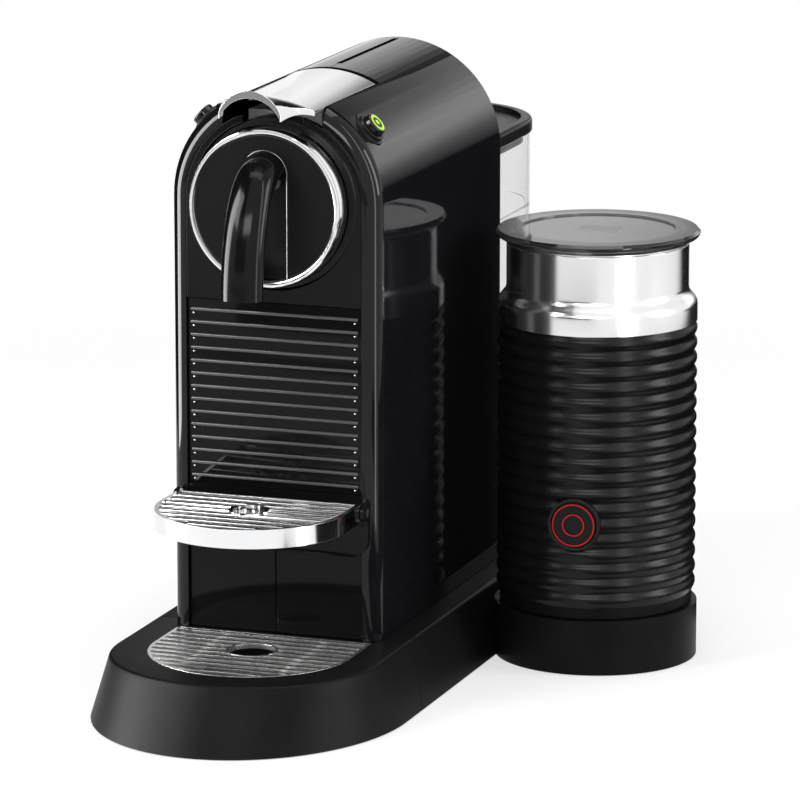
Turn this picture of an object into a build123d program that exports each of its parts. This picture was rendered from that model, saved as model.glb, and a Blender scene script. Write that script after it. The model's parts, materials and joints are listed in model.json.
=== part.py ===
"""Pod coffee machine with a docked milk frother, as separate pieces, in millimetres.

X runs to the right, Y to the back and Z up. The floor is at Z = 0, with the origin under the middle of the whole.
The machine's own plane is named `floor`: its origin is on the floor under the front face of the housing.
"""

import os
from math import cos, radians, sin, sqrt

from build123d import *

# Fits and clearances
seat_gap = 0.3  # between pieces that rest beside each other
slide_gap = 0.5  # between pieces that slide past each other
shaft_gap = 0.05  # radial, round a running pin or shaft
foot_proud = 0.4  # how far the rubber feet stand out below the base

# Base
base_half_width = 71.8
base_side_lean = 10.0  # each side leans in by this at the top
base_height = 28.7
base_wall = 2.5
base_deck = 3.0
base_front_straight = -25.0  # where the straight sides end and the round front begins, at the floor
base_front_reach = 87.0
base_front_straight_top = -36.0
base_front_reach_top = 57.5
base_rear_turn = 14.0  # the round back begins this far in front of the tank's own centre, at the floor
base_rear_reach = 64.0
base_rear_turn_top = 10.0
base_rear_reach_top = 55.0
base_edge_round = 2.0
parting_floor_y = -3.0  # the front unit parts from the base on a plane that leans with the front
parting_top_y = 13.0
parting_gap = 0.4

# Frother dock on the base
dock_x = 112.7
dock_y = 124.4
dock_radius = 47.1
dock_height = 25.8
dock_recess_radius = 40.0
dock_recess_depth = 4.0
dock_plug_radius = 14.0
dock_plug_height = 5.0
dock_plug_wall = 1.5

# Housing
housing_half_width = 49.9
rear_room = 73.3  # depth inside the housing behind the bulkhead
housing_wall = 2.5
arch_height = 227.1  # the level at which the round top begins
housing_front_round = 8.0
housing_seam = 0.3
vent_width = 2.8
vent_length = 79.0
vent_back = 5.3
rear_cover_thickness = 2.5

# Head
ring_drop = 0.7  # the ring's centre lies this far below the centre of the round top
ring_border = 13.3
ring_wall = 2.1
ring_reach = 12.2
head_well_border = 2.4
head_well_depth = 2.5
drum_depth = 13.0
face_thickness = 1.8
face_inset = 1.2
slot_half_width = 10.7
slot_border = 8.4
slot_depth = 12.0
spout_half_width = 9.7
spout_half_depth = 7.4
spout_forward = 28.0  # from the face to the middle of its mouth
spout_drop = 54.3
spout_hang = 36.0  # from the ring's centre down to the spout's mouth
spout_bore = 4.5
nozzle_radius = 4.0
nozzle_bore = 2.5
nozzle_length = 16.0
nozzle_inset = 1.0
nozzle_sleeve = 2.0  # the spout's wall round its inlet

# Lever
lever_half_width = 23.3
lever_gap = 0.6
lever_back = 70.0
lever_back_gap = 5.0
lever_thickness = 2.4
lever_front = -9.0
lip_thickness = 3.2
lip_waist_half_width = 18.0
lip_waist_reach = 19.0
lip_waist_rise = 2.6
lip_half_width = 14.5
lip_reach = 28.5
lip_rise = 4.8
lip_end_drop = 3.0
lever_axle_y = 52.0
lever_axle_depth = 19.0  # below the highest point of the housing
lever_axle_radius = 3.0
lever_arm_x = 17.0
lever_arm_thickness = 4.0
lever_boss_radius = 7.0
lever_hub_radius = 5.0
notch_half_width = 14.4
notch_depth = 15.0

# Front of the machine, from the ribbed panel down
panel_drop = 44.8  # from the ring's centre down to the panel's top edge
panel_lift = 2.0
panel_thickness = 3.0
panel_inset = 1.2  # the ribbed panel's face lies this far behind the housing's front
rib_count = 14
rib_end_gap = 3.6
rib_top_gap = 5.0
rib_height = 1.3
rib_reach = 1.0
rib_margin = 1.6
carrier_bottom = 68.5
carrier_reach = 3.2
carrier_corner = 9.0
backsplash_groove = 1.0

# Drip unit
tongue_half_width = 38.0
tongue_bottom = 20.0
tongue_thickness = 4.0
tongue_length = 4.0  # how far the tongue runs on behind the container
tongue_floor = 2.2
grid_border = 2.9
grid_centre_y = -29.5
grid_back = -0.5
splash_inset = 2.2  # the splash wall's face lies this far behind the housing's front
grid_frame_width = 1.6
grid_depth = 3.4
grid_rod_pitch = 6.5
grid_rod_width = 2.6
grid_rod_height = 2.2
grid_hole_y = -28.8
grid_hole_radius = 10.5
grid_hole_rim = 1.4
tub_wall = 3.5
tray_wall = 1.6
tray_floor_z = 4.0

# Capsule container
container_half_width = 36.5
container_depth = 82.5
container_head_room = 7.6
container_wall = 2.0
container_corner = 4.0

# Cup support
support_radius = 43.8
support_centre_y = -27.5
support_top = 94.0
support_depth = 8.6
support_rim = 2.0
support_pin_radius = 2.0
support_ear_radius = 4.2
support_ear_width = 2.0
support_rod_pitch = 7.1
support_rod_radius = 1.3
support_hole_y = -32.0
support_hole_radius = 9.4
support_hole_rim = 1.4
support_floor = 1.6

# Buttons
button_angle = 50.0
button_y = 21.0
button_radius = 5.3
button_reach = 5.0
button_collar_radius = 7.0
button_collar_reach = 2.0
button_travel = 1.6
button_socket_depth = 7.0
button_socket_wall = 1.5
button_edge = 0.5

# Brew group
cheek_x = 27.0
cheek_thickness = 3.0
cheek_low_depth = 31.0  # below the highest point of the housing, beside the buttons
cheek_depth = 15.0
cheek_drop = 38.0
wall_gap = 1.5
wall_thickness = 3.5
brew_drop = 4.4  # the brew group's centre line lies this far below the ring's centre
brew_plate_y = 15.0
brew_plate_thickness = 10.0
brew_plate_radius = 20.0
cage_radius = 18.5
cage_bore = 15.2
cage_start = 26.0
cage_length = 30.0
cage_travel = 20.0
cage_guide_height = 3.0
cage_guide_reach = 1.6
cage_back_wall = 4.0
chute_half_width = 16.0
chute_wall = 1.5
chute_front = 16.0
chute_back = 42.0
chute_lift = 3.5
chute_depth = 11.0

# Water side
tank_gap = 1.3
tank_straight = 38.4
tank_border = 0.9
tank_wall = 2.2
tank_bottom = 29.0
tank_floor_z = 38.0
tank_drop = 0.8
valve_inset = 24.4
valve_radius = 8.0
valve_flange = 2.5
valve_height = 14.0
valve_bore = 4.0
valve_seat_radius = 12.0
valve_seat_height = 5.5
fill_line_depth = 35.3
fill_line_reach = 0.6
lid_rim = 1.0
lid_thickness = 6.5
lid_dish = 2.4
lid_border = 5.5
lid_plug_inset = 4.5
lid_plug_depth = 5.5
lid_edge_round = 2.0
pump_radius = 17.0
pump_length = 58.0
pump_run = 11.7  # straight run between the flow meter's centre and the pump's cap
pump_z = 58.0
pump_cap_radius = 12.0
pump_cap_length = 10.0
mount_thickness = 5.0
mount_width = 12.0
boiler_side_run = 8.0
boiler_depth = 34.0
boiler_height = 64.0
boiler_gap = 16.0
boiler_post = 6.0
boiler_post_radius = 4.0
boiler_corner = 6.0
board_width = 62.0
board_height = 60.0
board_drop = 39.1
board_thickness = 1.6
board_post = 5.0
board_post_radius = 2.5
relay_width = 14.0
relay_height = 12.0
meter_radius = 11.0
meter_height = 14.0
meter_side_gap = 2.4
meter_back_gap = 4.5
tube_radius = 2.2
tube_bore = 1.2
tube_bend = 5.0
tube_drop = 11.0
brew_tube_side = 8.4
brew_tube_drop = 4.0

# Frother
frother_rib_count = 18
frother_radius = 46.2
frother_rib_depth = 1.1
frother_groove = 1.8
frother_base_radius = 44.6
frother_base_step = 3.0
jacket_bottom = 31.5
jacket_top = 158.6
jacket_wall = 2.4
neck_radius = 42.1
neck_top = 195.7
shoulder_top = 175.0
shoulder_bottom = 166.0
collar_wall = 2.0
jug_radius = 39.4
jug_wall = 0.9
jug_floor_z = 62.0
jug_corner = 6.0
motor_radius = 24.0
motor_height = 20.0
motor_hub_radius = 12.0
frother_lid_radius = 47.2
frother_lid_top = 201.0
frother_lid_plug = 6.0
frother_lid_wall = 2.0
frother_lid_edge = 1.2
frother_lid_foot = 4.0  # the rim flares out by this from its foot
frother_lid_well = 36.0
frother_lid_well_depth = 0.8
frother_seal_width = 1.6
frother_seal_height = 3.0
whisk_radius = 13.0
whisk_wire = 1.4
whisk_height = 8.0
whisk_lift = 0.3
spindle_radius = 1.6
spindle_height = 12.0
frother_button_angle = 5.0
frother_button_z = 71.3
frother_bezel_radius = 12.2
frother_bezel_wall = 1.6
frother_bezel_reach = 1.4
frother_button_travel = 1.0
holder_width = 20.0
holder_depth = 12.0
holder_height = 4.0
holder_offset = 3.0

# Feet and screws
foot_radius = 7.0
foot_height = 4.0
foot_front_x = 54.0
foot_front_y = 62.0
foot_rear_x = 40.0
foot_rear_reach = 26.0
dock_foot_offset = 25.0
screw_x = 54.0
screw_front_y = 40.0
screw_middle_gap = 6.6
screw_rear_reach = 44.0
dock_screw_offset = 33.0
plate_thickness = 2.0
plate_bottom = 2.2
screw_radius = 1.6
screw_head_radius = 3.2
screw_head_height = 1.2
screw_length = 11.0
boss_radius = 4.5
gland_radius = 7.0
gland_bore = 3.6
gland_x = -30.0
gland_z = 12.0

# Places that follow from the sizes above: across
opening_half_width = housing_half_width - housing_front_round
inner_half_width = housing_half_width - housing_wall
panel_half_width = opening_half_width - seat_gap
base_top_half_width = base_half_width - base_side_lean
ring_radius = housing_half_width - ring_border
ring_bore = ring_radius - ring_wall
head_well_radius = ring_radius + head_well_border
grid_radius = housing_half_width - grid_border
tank_radius = housing_half_width - tank_border
meter_x = meter_side_gap + meter_radius - inner_half_width
brew_tube_x = inner_half_width - brew_tube_side
boiler_width = 2 * (brew_tube_x - boiler_side_run)

# Upwards
arch_top = arch_height + housing_half_width
housing_bottom = base_height + seat_gap
ring_height = arch_height - ring_drop
slot_top = ring_height + ring_bore - slot_border
spout_mouth_z = ring_height - spout_hang
panel_top = ring_height - panel_drop
panel_bottom = support_top + panel_lift
rib_lowest = panel_bottom + rib_end_gap
rib_pitch = (panel_top - rib_top_gap - rib_lowest) / (rib_count - 1)
container_top = panel_top - container_head_room
lever_axle_z = arch_top - lever_axle_depth
notch_bottom = arch_top - notch_depth
brew_height = ring_height - brew_drop
cheek_bottom = brew_height - cheek_drop
cheek_low_top = arch_top - cheek_low_depth
cheek_top = arch_top - cheek_depth
chute_bottom = brew_height + cage_radius + chute_lift
chute_top = arch_top - chute_depth
brew_tube_z = brew_height - brew_tube_drop
tank_top = arch_height - tank_drop
fill_line_z = tank_top - fill_line_depth
board_bottom = arch_height - board_drop
boiler_bottom = board_bottom - boiler_gap - boiler_height

# From front to back
face_y = face_inset - ring_reach
panel_back = splash_inset + panel_thickness
container_front = panel_back + seat_gap
container_back = container_front + container_depth
tongue_back = container_back + tongue_length
wall_y = tongue_back + wall_gap
wall_back = wall_y + wall_thickness
housing_depth = wall_back + rear_room
vent_end = housing_depth - vent_back
vent_start = vent_end - vent_length
meter_y = housing_depth - rear_cover_thickness - seat_gap - meter_radius - meter_back_gap
pump_y = meter_y - pump_run - pump_cap_radius - seat_gap
tank_front = housing_depth + tank_gap
tank_centre_y = tank_front + tank_straight
tank_valve_y = tank_front + valve_inset
base_front = base_front_straight - base_front_reach
base_rear_straight = tank_centre_y - base_rear_turn
base_rear_straight_top = tank_centre_y - base_rear_turn_top
base_rear = base_rear_straight + base_rear_reach
foot_rear_y = base_rear_straight + foot_rear_reach
screw_middle_y = tank_front - screw_middle_gap
screw_rear_y = base_rear_straight + screw_rear_reach

machine_x = -(dock_x + dock_radius - base_half_width) / 2
machine_y = -(base_front + base_rear) / 2

floor = Plane(origin=(machine_x, machine_y, 0))
front = Plane(origin=(machine_x, machine_y, 0), x_dir=(1, 0, 0), z_dir=(0, -1, 0))
side = Plane(origin=(machine_x, machine_y, 0), x_dir=(0, 1, 0), z_dir=(1, 0, 0))
dock = Plane(origin=(machine_x + dock_x, machine_y + dock_y, 0))
dock_section = Plane(origin=dock.origin, x_dir=(1, 0, 0), z_dir=(0, -1, 0))
dock_axis = Axis(dock.origin, (0, 0, 1))


def behind(y):
    """The upright plane that faces the front, y behind the front of the housing."""
    return front.offset(-y)


def save(piece, name):
    """Labels a finished piece and writes it."""
    piece.part.label = name
    export_step(piece.part, "parts/" + name + ".step")


def archOutline(half_width, bottom, top_centre=None):
    """A doorway shape: straight sides and a round top."""
    level = arch_height if top_centre is None else top_centre
    Line((half_width, bottom), (half_width, level))
    ThreePointArc((half_width, level), (0, level + half_width), (-half_width, level))
    Line((-half_width, level), (-half_width, bottom))
    Line((-half_width, bottom), (half_width, bottom))


def baseOutline(half_width, front_straight, front_reach, rear_straight, rear_reach):
    """Straight sides with a round front and a round back."""
    Line((half_width, front_straight), (half_width, rear_straight))
    EllipticalCenterArc((0, rear_straight), half_width, rear_reach, start_angle=0, arc_size=180)
    Line((-half_width, rear_straight), (-half_width, front_straight))
    EllipticalCenterArc((0, front_straight), half_width, front_reach, start_angle=180, arc_size=180)


def frontRound(radius, centre_y, back):
    """A half round towards the front, with straight sides that run back."""
    Line((radius, back), (-radius, back))
    Line((-radius, back), (-radius, centre_y))
    ThreePointArc((-radius, centre_y), (0, centre_y - radius), (radius, centre_y))
    Line((radius, centre_y), (radius, back))


def tankOutline(radius, front_y):
    """A half round towards the back, with straight sides that run forward."""
    Line((-radius, front_y), (radius, front_y))
    Line((radius, front_y), (radius, tank_centre_y))
    ThreePointArc((radius, tank_centre_y), (0, tank_centre_y + radius), (-radius, tank_centre_y))
    Line((-radius, tank_centre_y), (-radius, front_y))


def rearOutline(half_width, front_y, rear_straight, rear_reach):
    """Square at the front, with straight sides and a round back."""
    Line((-half_width, front_y), (half_width, front_y))
    Line((half_width, front_y), (half_width, rear_straight))
    EllipticalCenterArc((0, rear_straight), half_width, rear_reach, start_angle=0, arc_size=180)
    Line((-half_width, rear_straight), (-half_width, front_y))


def block(x_from, x_to, y_from, y_to, z_from, z_to, mode=Mode.ADD):
    """A straight block between two corners, measured from the machine's own plane."""
    with BuildSketch(floor.offset(z_from)) as outline:
        with Locations(((x_from + x_to) / 2, (y_from + y_to) / 2)):
            Rectangle(x_to - x_from, y_to - y_from)
    extrude(outline.sketch, amount=z_to - z_from, mode=mode)


def post(x, y, radius, z_from, z_to, mode=Mode.ADD):
    """An upright round post."""
    with BuildSketch(floor.offset(z_from)) as outline:
        with Locations((x, y)):
            Circle(radius)
    extrude(outline.sketch, amount=z_to - z_from, mode=mode)


def barrel(x, z, radius, y_from, y_to, mode=Mode.ADD):
    """A round bar that runs from front to back."""
    with BuildSketch(behind(y_to)) as outline:
        with Locations((x, z)):
            Circle(radius)
    extrude(outline.sketch, amount=y_to - y_from, mode=mode)


def axleBar(y, z, radius, x_from, x_to, mode=Mode.ADD):
    """A round bar that runs from left to right."""
    with BuildSketch(side.offset(x_from)) as outline:
        with Locations((y, z)):
            Circle(radius)
    extrude(outline.sketch, amount=x_to - x_from, mode=mode)


def baseLean(z):
    """How far the base's sides lean in at the height z."""
    return base_side_lean * z / base_height


os.makedirs("parts", exist_ok=True)

# ---- Base: one outer form, parted into the fixed base and the front unit ----

parting = Plane(
    origin=(machine_x, machine_y + parting_floor_y, 0),
    x_dir=(1, 0, 0),
    z_dir=(0, base_height, parting_floor_y - parting_top_y),
)

with BuildPart() as base_form:
    with BuildSketch(floor.offset(foot_proud)):
        with BuildLine():
            baseOutline(
                base_half_width, base_front_straight, base_front_reach, base_rear_straight, base_rear_reach
            )
        make_face()
    with BuildSketch(floor.offset(base_height)):
        with BuildLine():
            baseOutline(
                base_top_half_width,
                base_front_straight_top,
                base_front_reach_top,
                base_rear_straight_top,
                base_rear_reach_top,
            )
        make_face()
    loft(ruled=True)
    fillet(base_form.faces().sort_by(Axis.Z)[-1].edges(), radius=base_edge_round)

cavity_top = base_height - base_deck
cavity_front = parting_top_y + 2 * base_wall
cavity_half_width = base_half_width - base_wall
cavity_half_width_top = cavity_half_width - baseLean(cavity_top)
cavity_reach_top = base_rear_reach_top - base_wall
dock_floor = dock_height - dock_recess_depth
dock_cavity_top = dock_floor - base_wall
plate_top = plate_bottom + plate_thickness
channel_floor = tongue_bottom - slide_gap
channel_half_width = tongue_half_width + slide_gap
channel_back = tongue_back + slide_gap

with BuildPart() as base_cavity:
    with BuildSketch(floor):
        with BuildLine():
            rearOutline(
                cavity_half_width, cavity_front, base_rear_straight, base_rear_reach - base_wall
            )
        make_face()
    with BuildSketch(floor.offset(cavity_top)):
        with BuildLine():
            rearOutline(
                cavity_half_width_top, cavity_front, base_rear_straight_top, cavity_reach_top
            )
        make_face()
    loft(ruled=True)

screw_places = [(x, y) for x in (-screw_x, screw_x) for y in (screw_front_y, screw_middle_y)]
screw_places += [(0, screw_rear_y), (dock_x, dock_y + dock_screw_offset)]
foot_places = [(-foot_front_x, foot_front_y), (foot_front_x, foot_front_y)]
foot_places += [(-foot_rear_x, foot_rear_y), (foot_rear_x, foot_rear_y), (dock_x, dock_y - dock_foot_offset)]

with BuildPart() as base_shell:
    add(base_form.part)
    split(bisect_by=parting.offset(parting_gap / 2), keep=Keep.TOP)
    with BuildSketch(dock.offset(foot_proud)):
        Circle(dock_radius)
    extrude(amount=dock_height - foot_proud)
    add(base_cavity.part, mode=Mode.SUBTRACT)
    with BuildSketch(dock):
        Circle(dock_radius - base_wall)
    extrude(amount=dock_cavity_top, mode=Mode.SUBTRACT)
    block(
        -channel_half_width - base_deck,
        channel_half_width + base_deck,
        cavity_front - base_wall,
        channel_back + base_deck,
        channel_floor - tongue_floor,
        cavity_top,
    )
    block(
        -channel_half_width,
        channel_half_width,
        base_front,
        channel_back,
        channel_floor,
        2 * base_height,
        Mode.SUBTRACT,
    )
    with BuildSketch(dock.offset(dock_floor)):
        Circle(dock_recess_radius)
    extrude(amount=dock_recess_depth, mode=Mode.SUBTRACT)
    for x, y in screw_places:
        ceiling = dock_cavity_top if x == dock_x else cavity_top
        post(x, y, boss_radius, plate_top, ceiling)
        post(x, y, screw_radius + shaft_gap, 0, plate_bottom + screw_length + shaft_gap, Mode.SUBTRACT)
    post(0, tank_valve_y, tube_radius + shaft_gap, cavity_top - 1, base_height + 1, Mode.SUBTRACT)
    post(meter_x, meter_y, tube_radius + shaft_gap, cavity_top - 1, base_height + 1, Mode.SUBTRACT)
    barrel(gland_x, gland_z, gland_radius + shaft_gap, base_rear_straight, base_rear + 1, Mode.SUBTRACT)
save(base_shell, "base_shell")

with BuildPart() as base_plate:
    with BuildSketch(floor.offset(plate_bottom)):
        with BuildLine():
            rearOutline(
                cavity_half_width - baseLean(plate_top) - seat_gap,
                cavity_front + seat_gap,
                base_rear_straight,
                base_rear_reach - base_wall - baseLean(plate_top) - seat_gap,
            )
        make_face()
    extrude(amount=plate_thickness)
    with BuildSketch(dock.offset(plate_bottom)):
        Circle(dock_radius - base_wall - seat_gap)
    extrude(amount=plate_thickness)
    for x, y in screw_places:
        post(x, y, screw_radius + shaft_gap, 0, 2 * plate_top, Mode.SUBTRACT)
    for x, y in foot_places:
        post(x, y, foot_radius / 2 + shaft_gap, 0, 2 * plate_top, Mode.SUBTRACT)
save(base_plate, "base_plate")

with BuildPart() as rubber_feet:
    for x, y in foot_places:
        post(x, y, foot_radius, 0, plate_bottom)
        post(x, y, foot_radius / 2, plate_bottom, foot_height)
save(rubber_feet, "rubber_feet")

with BuildPart() as base_screws:
    for x, y in screw_places:
        post(x, y, screw_head_radius, plate_bottom - screw_head_height, plate_bottom)
        post(x, y, screw_radius, plate_bottom, plate_bottom + screw_length)
save(base_screws, "base_screws")

gland_back = base_rear_straight + (base_rear_reach - baseLean(gland_z)) * sqrt(
    1 - (gland_x / (base_half_width - baseLean(gland_z))) ** 2
)
with BuildPart() as power_gland:
    barrel(gland_x, gland_z, gland_radius, gland_back - 4 * base_wall, gland_back - base_wall / 2)
    barrel(gland_x, gland_z, gland_bore, base_rear_straight, base_rear + 1, Mode.SUBTRACT)
save(power_gland, "power_gland")

# ---- Housing: two half shells that meet on the top centre line ----

with BuildPart() as housing_hollow:
    with BuildSketch(behind(housing_depth + 1)):
        with BuildLine():
            archOutline(inner_half_width, 0)
        make_face()
    extrude(amount=housing_depth + 1 - housing_wall)
    fillet(
        housing_hollow.faces().sort_by(Axis.Y)[0].edges().filter_by(lambda e: e.center().Z > 1),
        radius=housing_front_round - housing_wall,
    )

with BuildPart() as housing:
    with BuildSketch(behind(housing_depth)):
        with BuildLine():
            archOutline(housing_half_width, housing_bottom)
        make_face()
    extrude(amount=housing_depth)
    fillet(
        housing.faces().sort_by(Axis.Y)[0].edges().filter_by(lambda e: e.center().Z > housing_bottom + 1),
        radius=housing_front_round,
    )
    add(housing_hollow.part, mode=Mode.SUBTRACT)
    with BuildSketch(behind(housing_front_round)):
        with BuildLine():
            archOutline(opening_half_width, 0)
        make_face()
    extrude(amount=2 * housing_front_round, mode=Mode.SUBTRACT)
    block(
        -lever_half_width - lever_gap,
        lever_half_width + lever_gap,
        -housing_front_round,
        lever_back + lever_back_gap,
        arch_height,
        arch_height + 2 * housing_half_width,
        Mode.SUBTRACT,
    )
    block(-vent_width / 2, vent_width / 2, vent_start, vent_end, arch_height, 2 * arch_height, Mode.SUBTRACT)
    block(-housing_seam / 2, housing_seam / 2, -1, housing_depth + 1, arch_height, 2 * arch_height, Mode.SUBTRACT)


def buttonPlane(lean, reach):
    """A plane on the housing's round top, turned from upright by lean and standing out by reach."""
    out_x = sin(radians(lean))
    out_z = cos(radians(lean))
    distance = housing_half_width + reach
    return Plane(
        origin=(machine_x + distance * out_x, machine_y + button_y, arch_height + distance * out_z),
        x_dir=(0, 1, 0),
        z_dir=(out_x, 0, out_z),
    )


for half, lean in ((Keep.BOTTOM, -button_angle), (Keep.TOP, button_angle)):
    name = "housing_left" if half == Keep.BOTTOM else "housing_right"
    with BuildPart() as housing_half:
        add(housing.part)
        split(bisect_by=side, keep=half)
        with BuildSketch(buttonPlane(lean, button_reach)):
            Circle(button_collar_radius + button_socket_wall)
        extrude(amount=-button_reach - 2 * housing_wall, mode=Mode.SUBTRACT)
    save(housing_half, name)

with BuildPart() as rear_cover:
    with BuildSketch(behind(housing_depth - seat_gap)):
        with BuildLine():
            archOutline(inner_half_width - seat_gap, housing_bottom)
        make_face()
    extrude(amount=rear_cover_thickness)
save(rear_cover, "rear_cover")

# ---- Head: panel, drum, ring, face and spout ----

with BuildPart() as front_panel:
    with BuildSketch(behind(panel_thickness)):
        with BuildLine():
            archOutline(opening_half_width - seat_gap, panel_top)
        make_face()
        with Locations((0, ring_height)):
            Circle(head_well_radius, mode=Mode.SUBTRACT)
        with Locations((0, notch_bottom + housing_half_width)):
            Rectangle(2 * notch_half_width, 2 * housing_half_width, mode=Mode.SUBTRACT)
    extrude(amount=panel_thickness)
save(front_panel, "front_panel")

drum_back = brew_plate_y - seat_gap
nozzle_z = brew_height + brew_plate_radius - nozzle_radius - nozzle_inset
slot_centre = slot_top - slot_half_width


def slotOutline():
    """The arched slot in the face, open at the bottom."""
    Line((slot_half_width, ring_height - ring_radius), (slot_half_width, slot_centre))
    ThreePointArc((slot_half_width, slot_centre), (0, slot_top), (-slot_half_width, slot_centre))
    Line((-slot_half_width, slot_centre), (-slot_half_width, ring_height - ring_radius))
    Line((-slot_half_width, ring_height - ring_radius), (slot_half_width, ring_height - ring_radius))


with BuildPart() as head_drum:
    barrel(0, ring_height, head_well_radius - seat_gap, head_well_depth, drum_back)
    barrel(0, ring_height, ring_bore - shaft_gap, face_y + face_thickness + seat_gap, drum_back)
    with BuildSketch(behind(face_y + slot_depth)):
        with BuildLine():
            slotOutline()
        make_face()
    extrude(amount=slot_depth + 1, mode=Mode.SUBTRACT)
    barrel(0, nozzle_z, nozzle_radius + shaft_gap, -ring_reach, drum_back + 1, Mode.SUBTRACT)
save(head_drum, "head_drum")

with BuildPart() as chrome_ring:
    barrel(0, ring_height, ring_radius, -ring_reach, head_well_depth - seat_gap)
    barrel(0, ring_height, ring_bore, -ring_reach - 1, head_well_depth, Mode.SUBTRACT)
save(chrome_ring, "chrome_ring")

with BuildPart() as head_face:
    barrel(0, ring_height, ring_bore - seat_gap, face_y, face_y + face_thickness)
    with BuildSketch(behind(face_y + face_thickness + 1)):
        with BuildLine():
            slotOutline()
        make_face()
    extrude(amount=face_thickness + 2, mode=Mode.SUBTRACT)
save(head_face, "head_face")

spout_root_y = face_y + slot_depth - seat_gap
spout_root_z = spout_mouth_z + spout_drop

with BuildPart() as coffee_spout:
    with BuildLine(side) as spout_path:
        EllipticalCenterArc(
            (face_y, spout_mouth_z), spout_forward, spout_drop, start_angle=90, arc_size=90
        )
    with BuildSketch(behind(face_y)):
        with Locations((0, spout_root_z)):
            Ellipse(spout_half_width, spout_half_depth)
    sweep(path=spout_path.line)
    with BuildSketch(behind(face_y)):
        with Locations((0, spout_root_z)):
            Ellipse(spout_half_width, spout_half_depth)
    extrude(amount=face_y - spout_root_y)
    barrel(0, nozzle_z, nozzle_radius + nozzle_sleeve, face_y, spout_root_y)
    with BuildSketch(floor.offset(spout_mouth_z)):
        with Locations((0, face_y - spout_forward)):
            Circle(spout_bore)
    extrude(amount=spout_drop / 3, mode=Mode.SUBTRACT)
    barrel(0, nozzle_z, nozzle_radius + shaft_gap, face_y, spout_root_y + 1, Mode.SUBTRACT)
save(coffee_spout, "coffee_spout")

with BuildPart() as outlet_nozzle:
    barrel(0, nozzle_z, nozzle_radius, drum_back - nozzle_length, drum_back)
    barrel(0, nozzle_z, nozzle_bore, drum_back - nozzle_length - 1, drum_back + 1, Mode.SUBTRACT)
save(outlet_nozzle, "outlet_nozzle")

# ---- Lever: a plate flush with the round top, with a raised lip in front ----

lever_under_radius = housing_half_width - lever_thickness


def archLevel(x):
    """The height of the housing's round top, x beside the middle."""
    return arch_height + sqrt(housing_half_width**2 - x**2)


def lipOutline(half_width, end_z, peak_z, thickness):
    """The lever's arched strip seen from the front, between its two ends and its peak."""
    low_end = end_z - thickness
    low_peak = peak_z - thickness
    ThreePointArc((half_width, end_z), (0, peak_z), (-half_width, end_z))
    Line((-half_width, end_z), (-half_width, low_end))
    ThreePointArc((-half_width, low_end), (0, low_peak), (half_width, low_end))
    Line((half_width, low_end), (half_width, end_z))


with BuildPart() as lever_plate:
    with BuildSketch(behind(lever_front)) as lever_section:
        with BuildLine():
            lipOutline(lever_half_width, archLevel(lever_half_width), arch_top, lever_thickness)
        make_face()
    extrude(amount=lever_front - lever_back)
    add(lever_section.sketch)
    with BuildSketch(behind(-lip_waist_reach)):
        with BuildLine():
            lipOutline(
                lip_waist_half_width,
                archLevel(lip_waist_half_width),
                arch_top + lip_waist_rise,
                lip_thickness,
            )
        make_face()
    with BuildSketch(behind(-lip_reach)):
        with BuildLine():
            lipOutline(
                lip_half_width,
                archLevel(lip_half_width) - lip_end_drop,
                arch_top + lip_rise,
                lip_thickness,
            )
        make_face()
    loft()
save(lever_plate, "lever_plate")

arm_back = lever_back - lever_thickness
with BuildPart() as lever_arms:
    for x in (-lever_arm_x - lever_arm_thickness, lever_arm_x):
        axleBar(lever_axle_y, lever_axle_z, lever_boss_radius, x, x + lever_arm_thickness)
        block(
            x,
            x + lever_arm_thickness,
            lever_axle_y - lever_boss_radius,
            arm_back,
            lever_axle_z,
            arch_top,
        )
    axleBar(lever_axle_y, lever_axle_z, lever_hub_radius, -lever_arm_x, lever_arm_x)
    barrel(0, arch_height, lever_under_radius - seat_gap, 0, 2 * lever_back, Mode.INTERSECT)
    axleBar(
        lever_axle_y,
        lever_axle_z,
        lever_axle_radius + shaft_gap,
        -lever_half_width,
        lever_half_width,
        Mode.SUBTRACT,
    )
save(lever_arms, "lever_arms")

axle_half_length = cheek_x + cheek_thickness
with BuildPart() as lever_axle:
    axleBar(lever_axle_y, lever_axle_z, lever_axle_radius, -axle_half_length, axle_half_length)
save(lever_axle, "lever_axle")

# ---- Buttons in the round top, each in a socket with a raised collar ----

socket_radius = button_collar_radius + button_socket_wall - seat_gap
button_depth = button_socket_depth - button_socket_wall - button_travel - seat_gap

for name, lean in (("espresso_button", -button_angle), ("lungo_button", button_angle)):
    with BuildPart() as button:
        with BuildSketch(buttonPlane(lean, button_reach)):
            Circle(button_radius)
        extrude(amount=-button_reach - button_depth)
        chamfer(button.edges(), length=button_edge)
    save(button, name)

with BuildPart() as button_sockets:
    for lean in (-button_angle, button_angle):
        with BuildSketch(buttonPlane(lean, 0)):
            Circle(socket_radius)
        extrude(amount=-button_socket_depth)
        with BuildSketch(buttonPlane(lean, button_collar_reach)):
            Circle(button_collar_radius)
        extrude(amount=-button_collar_reach)
        with BuildSketch(buttonPlane(lean, button_collar_reach)):
            Circle(button_radius + seat_gap)
        extrude(amount=-button_collar_reach - button_socket_depth + button_socket_wall, mode=Mode.SUBTRACT)
save(button_sockets, "button_sockets")

# ---- Front unit: drip base, tray, grid, splash wall, ribbed panel and container ----

tub_radius = grid_radius - tub_wall
tub_back = -2 * tub_wall
tongue_top = tongue_bottom + tongue_thickness
front_cavity_reach = base_front_reach - base_wall
front_cavity_reach_top = base_front_reach_top - base_wall

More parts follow.
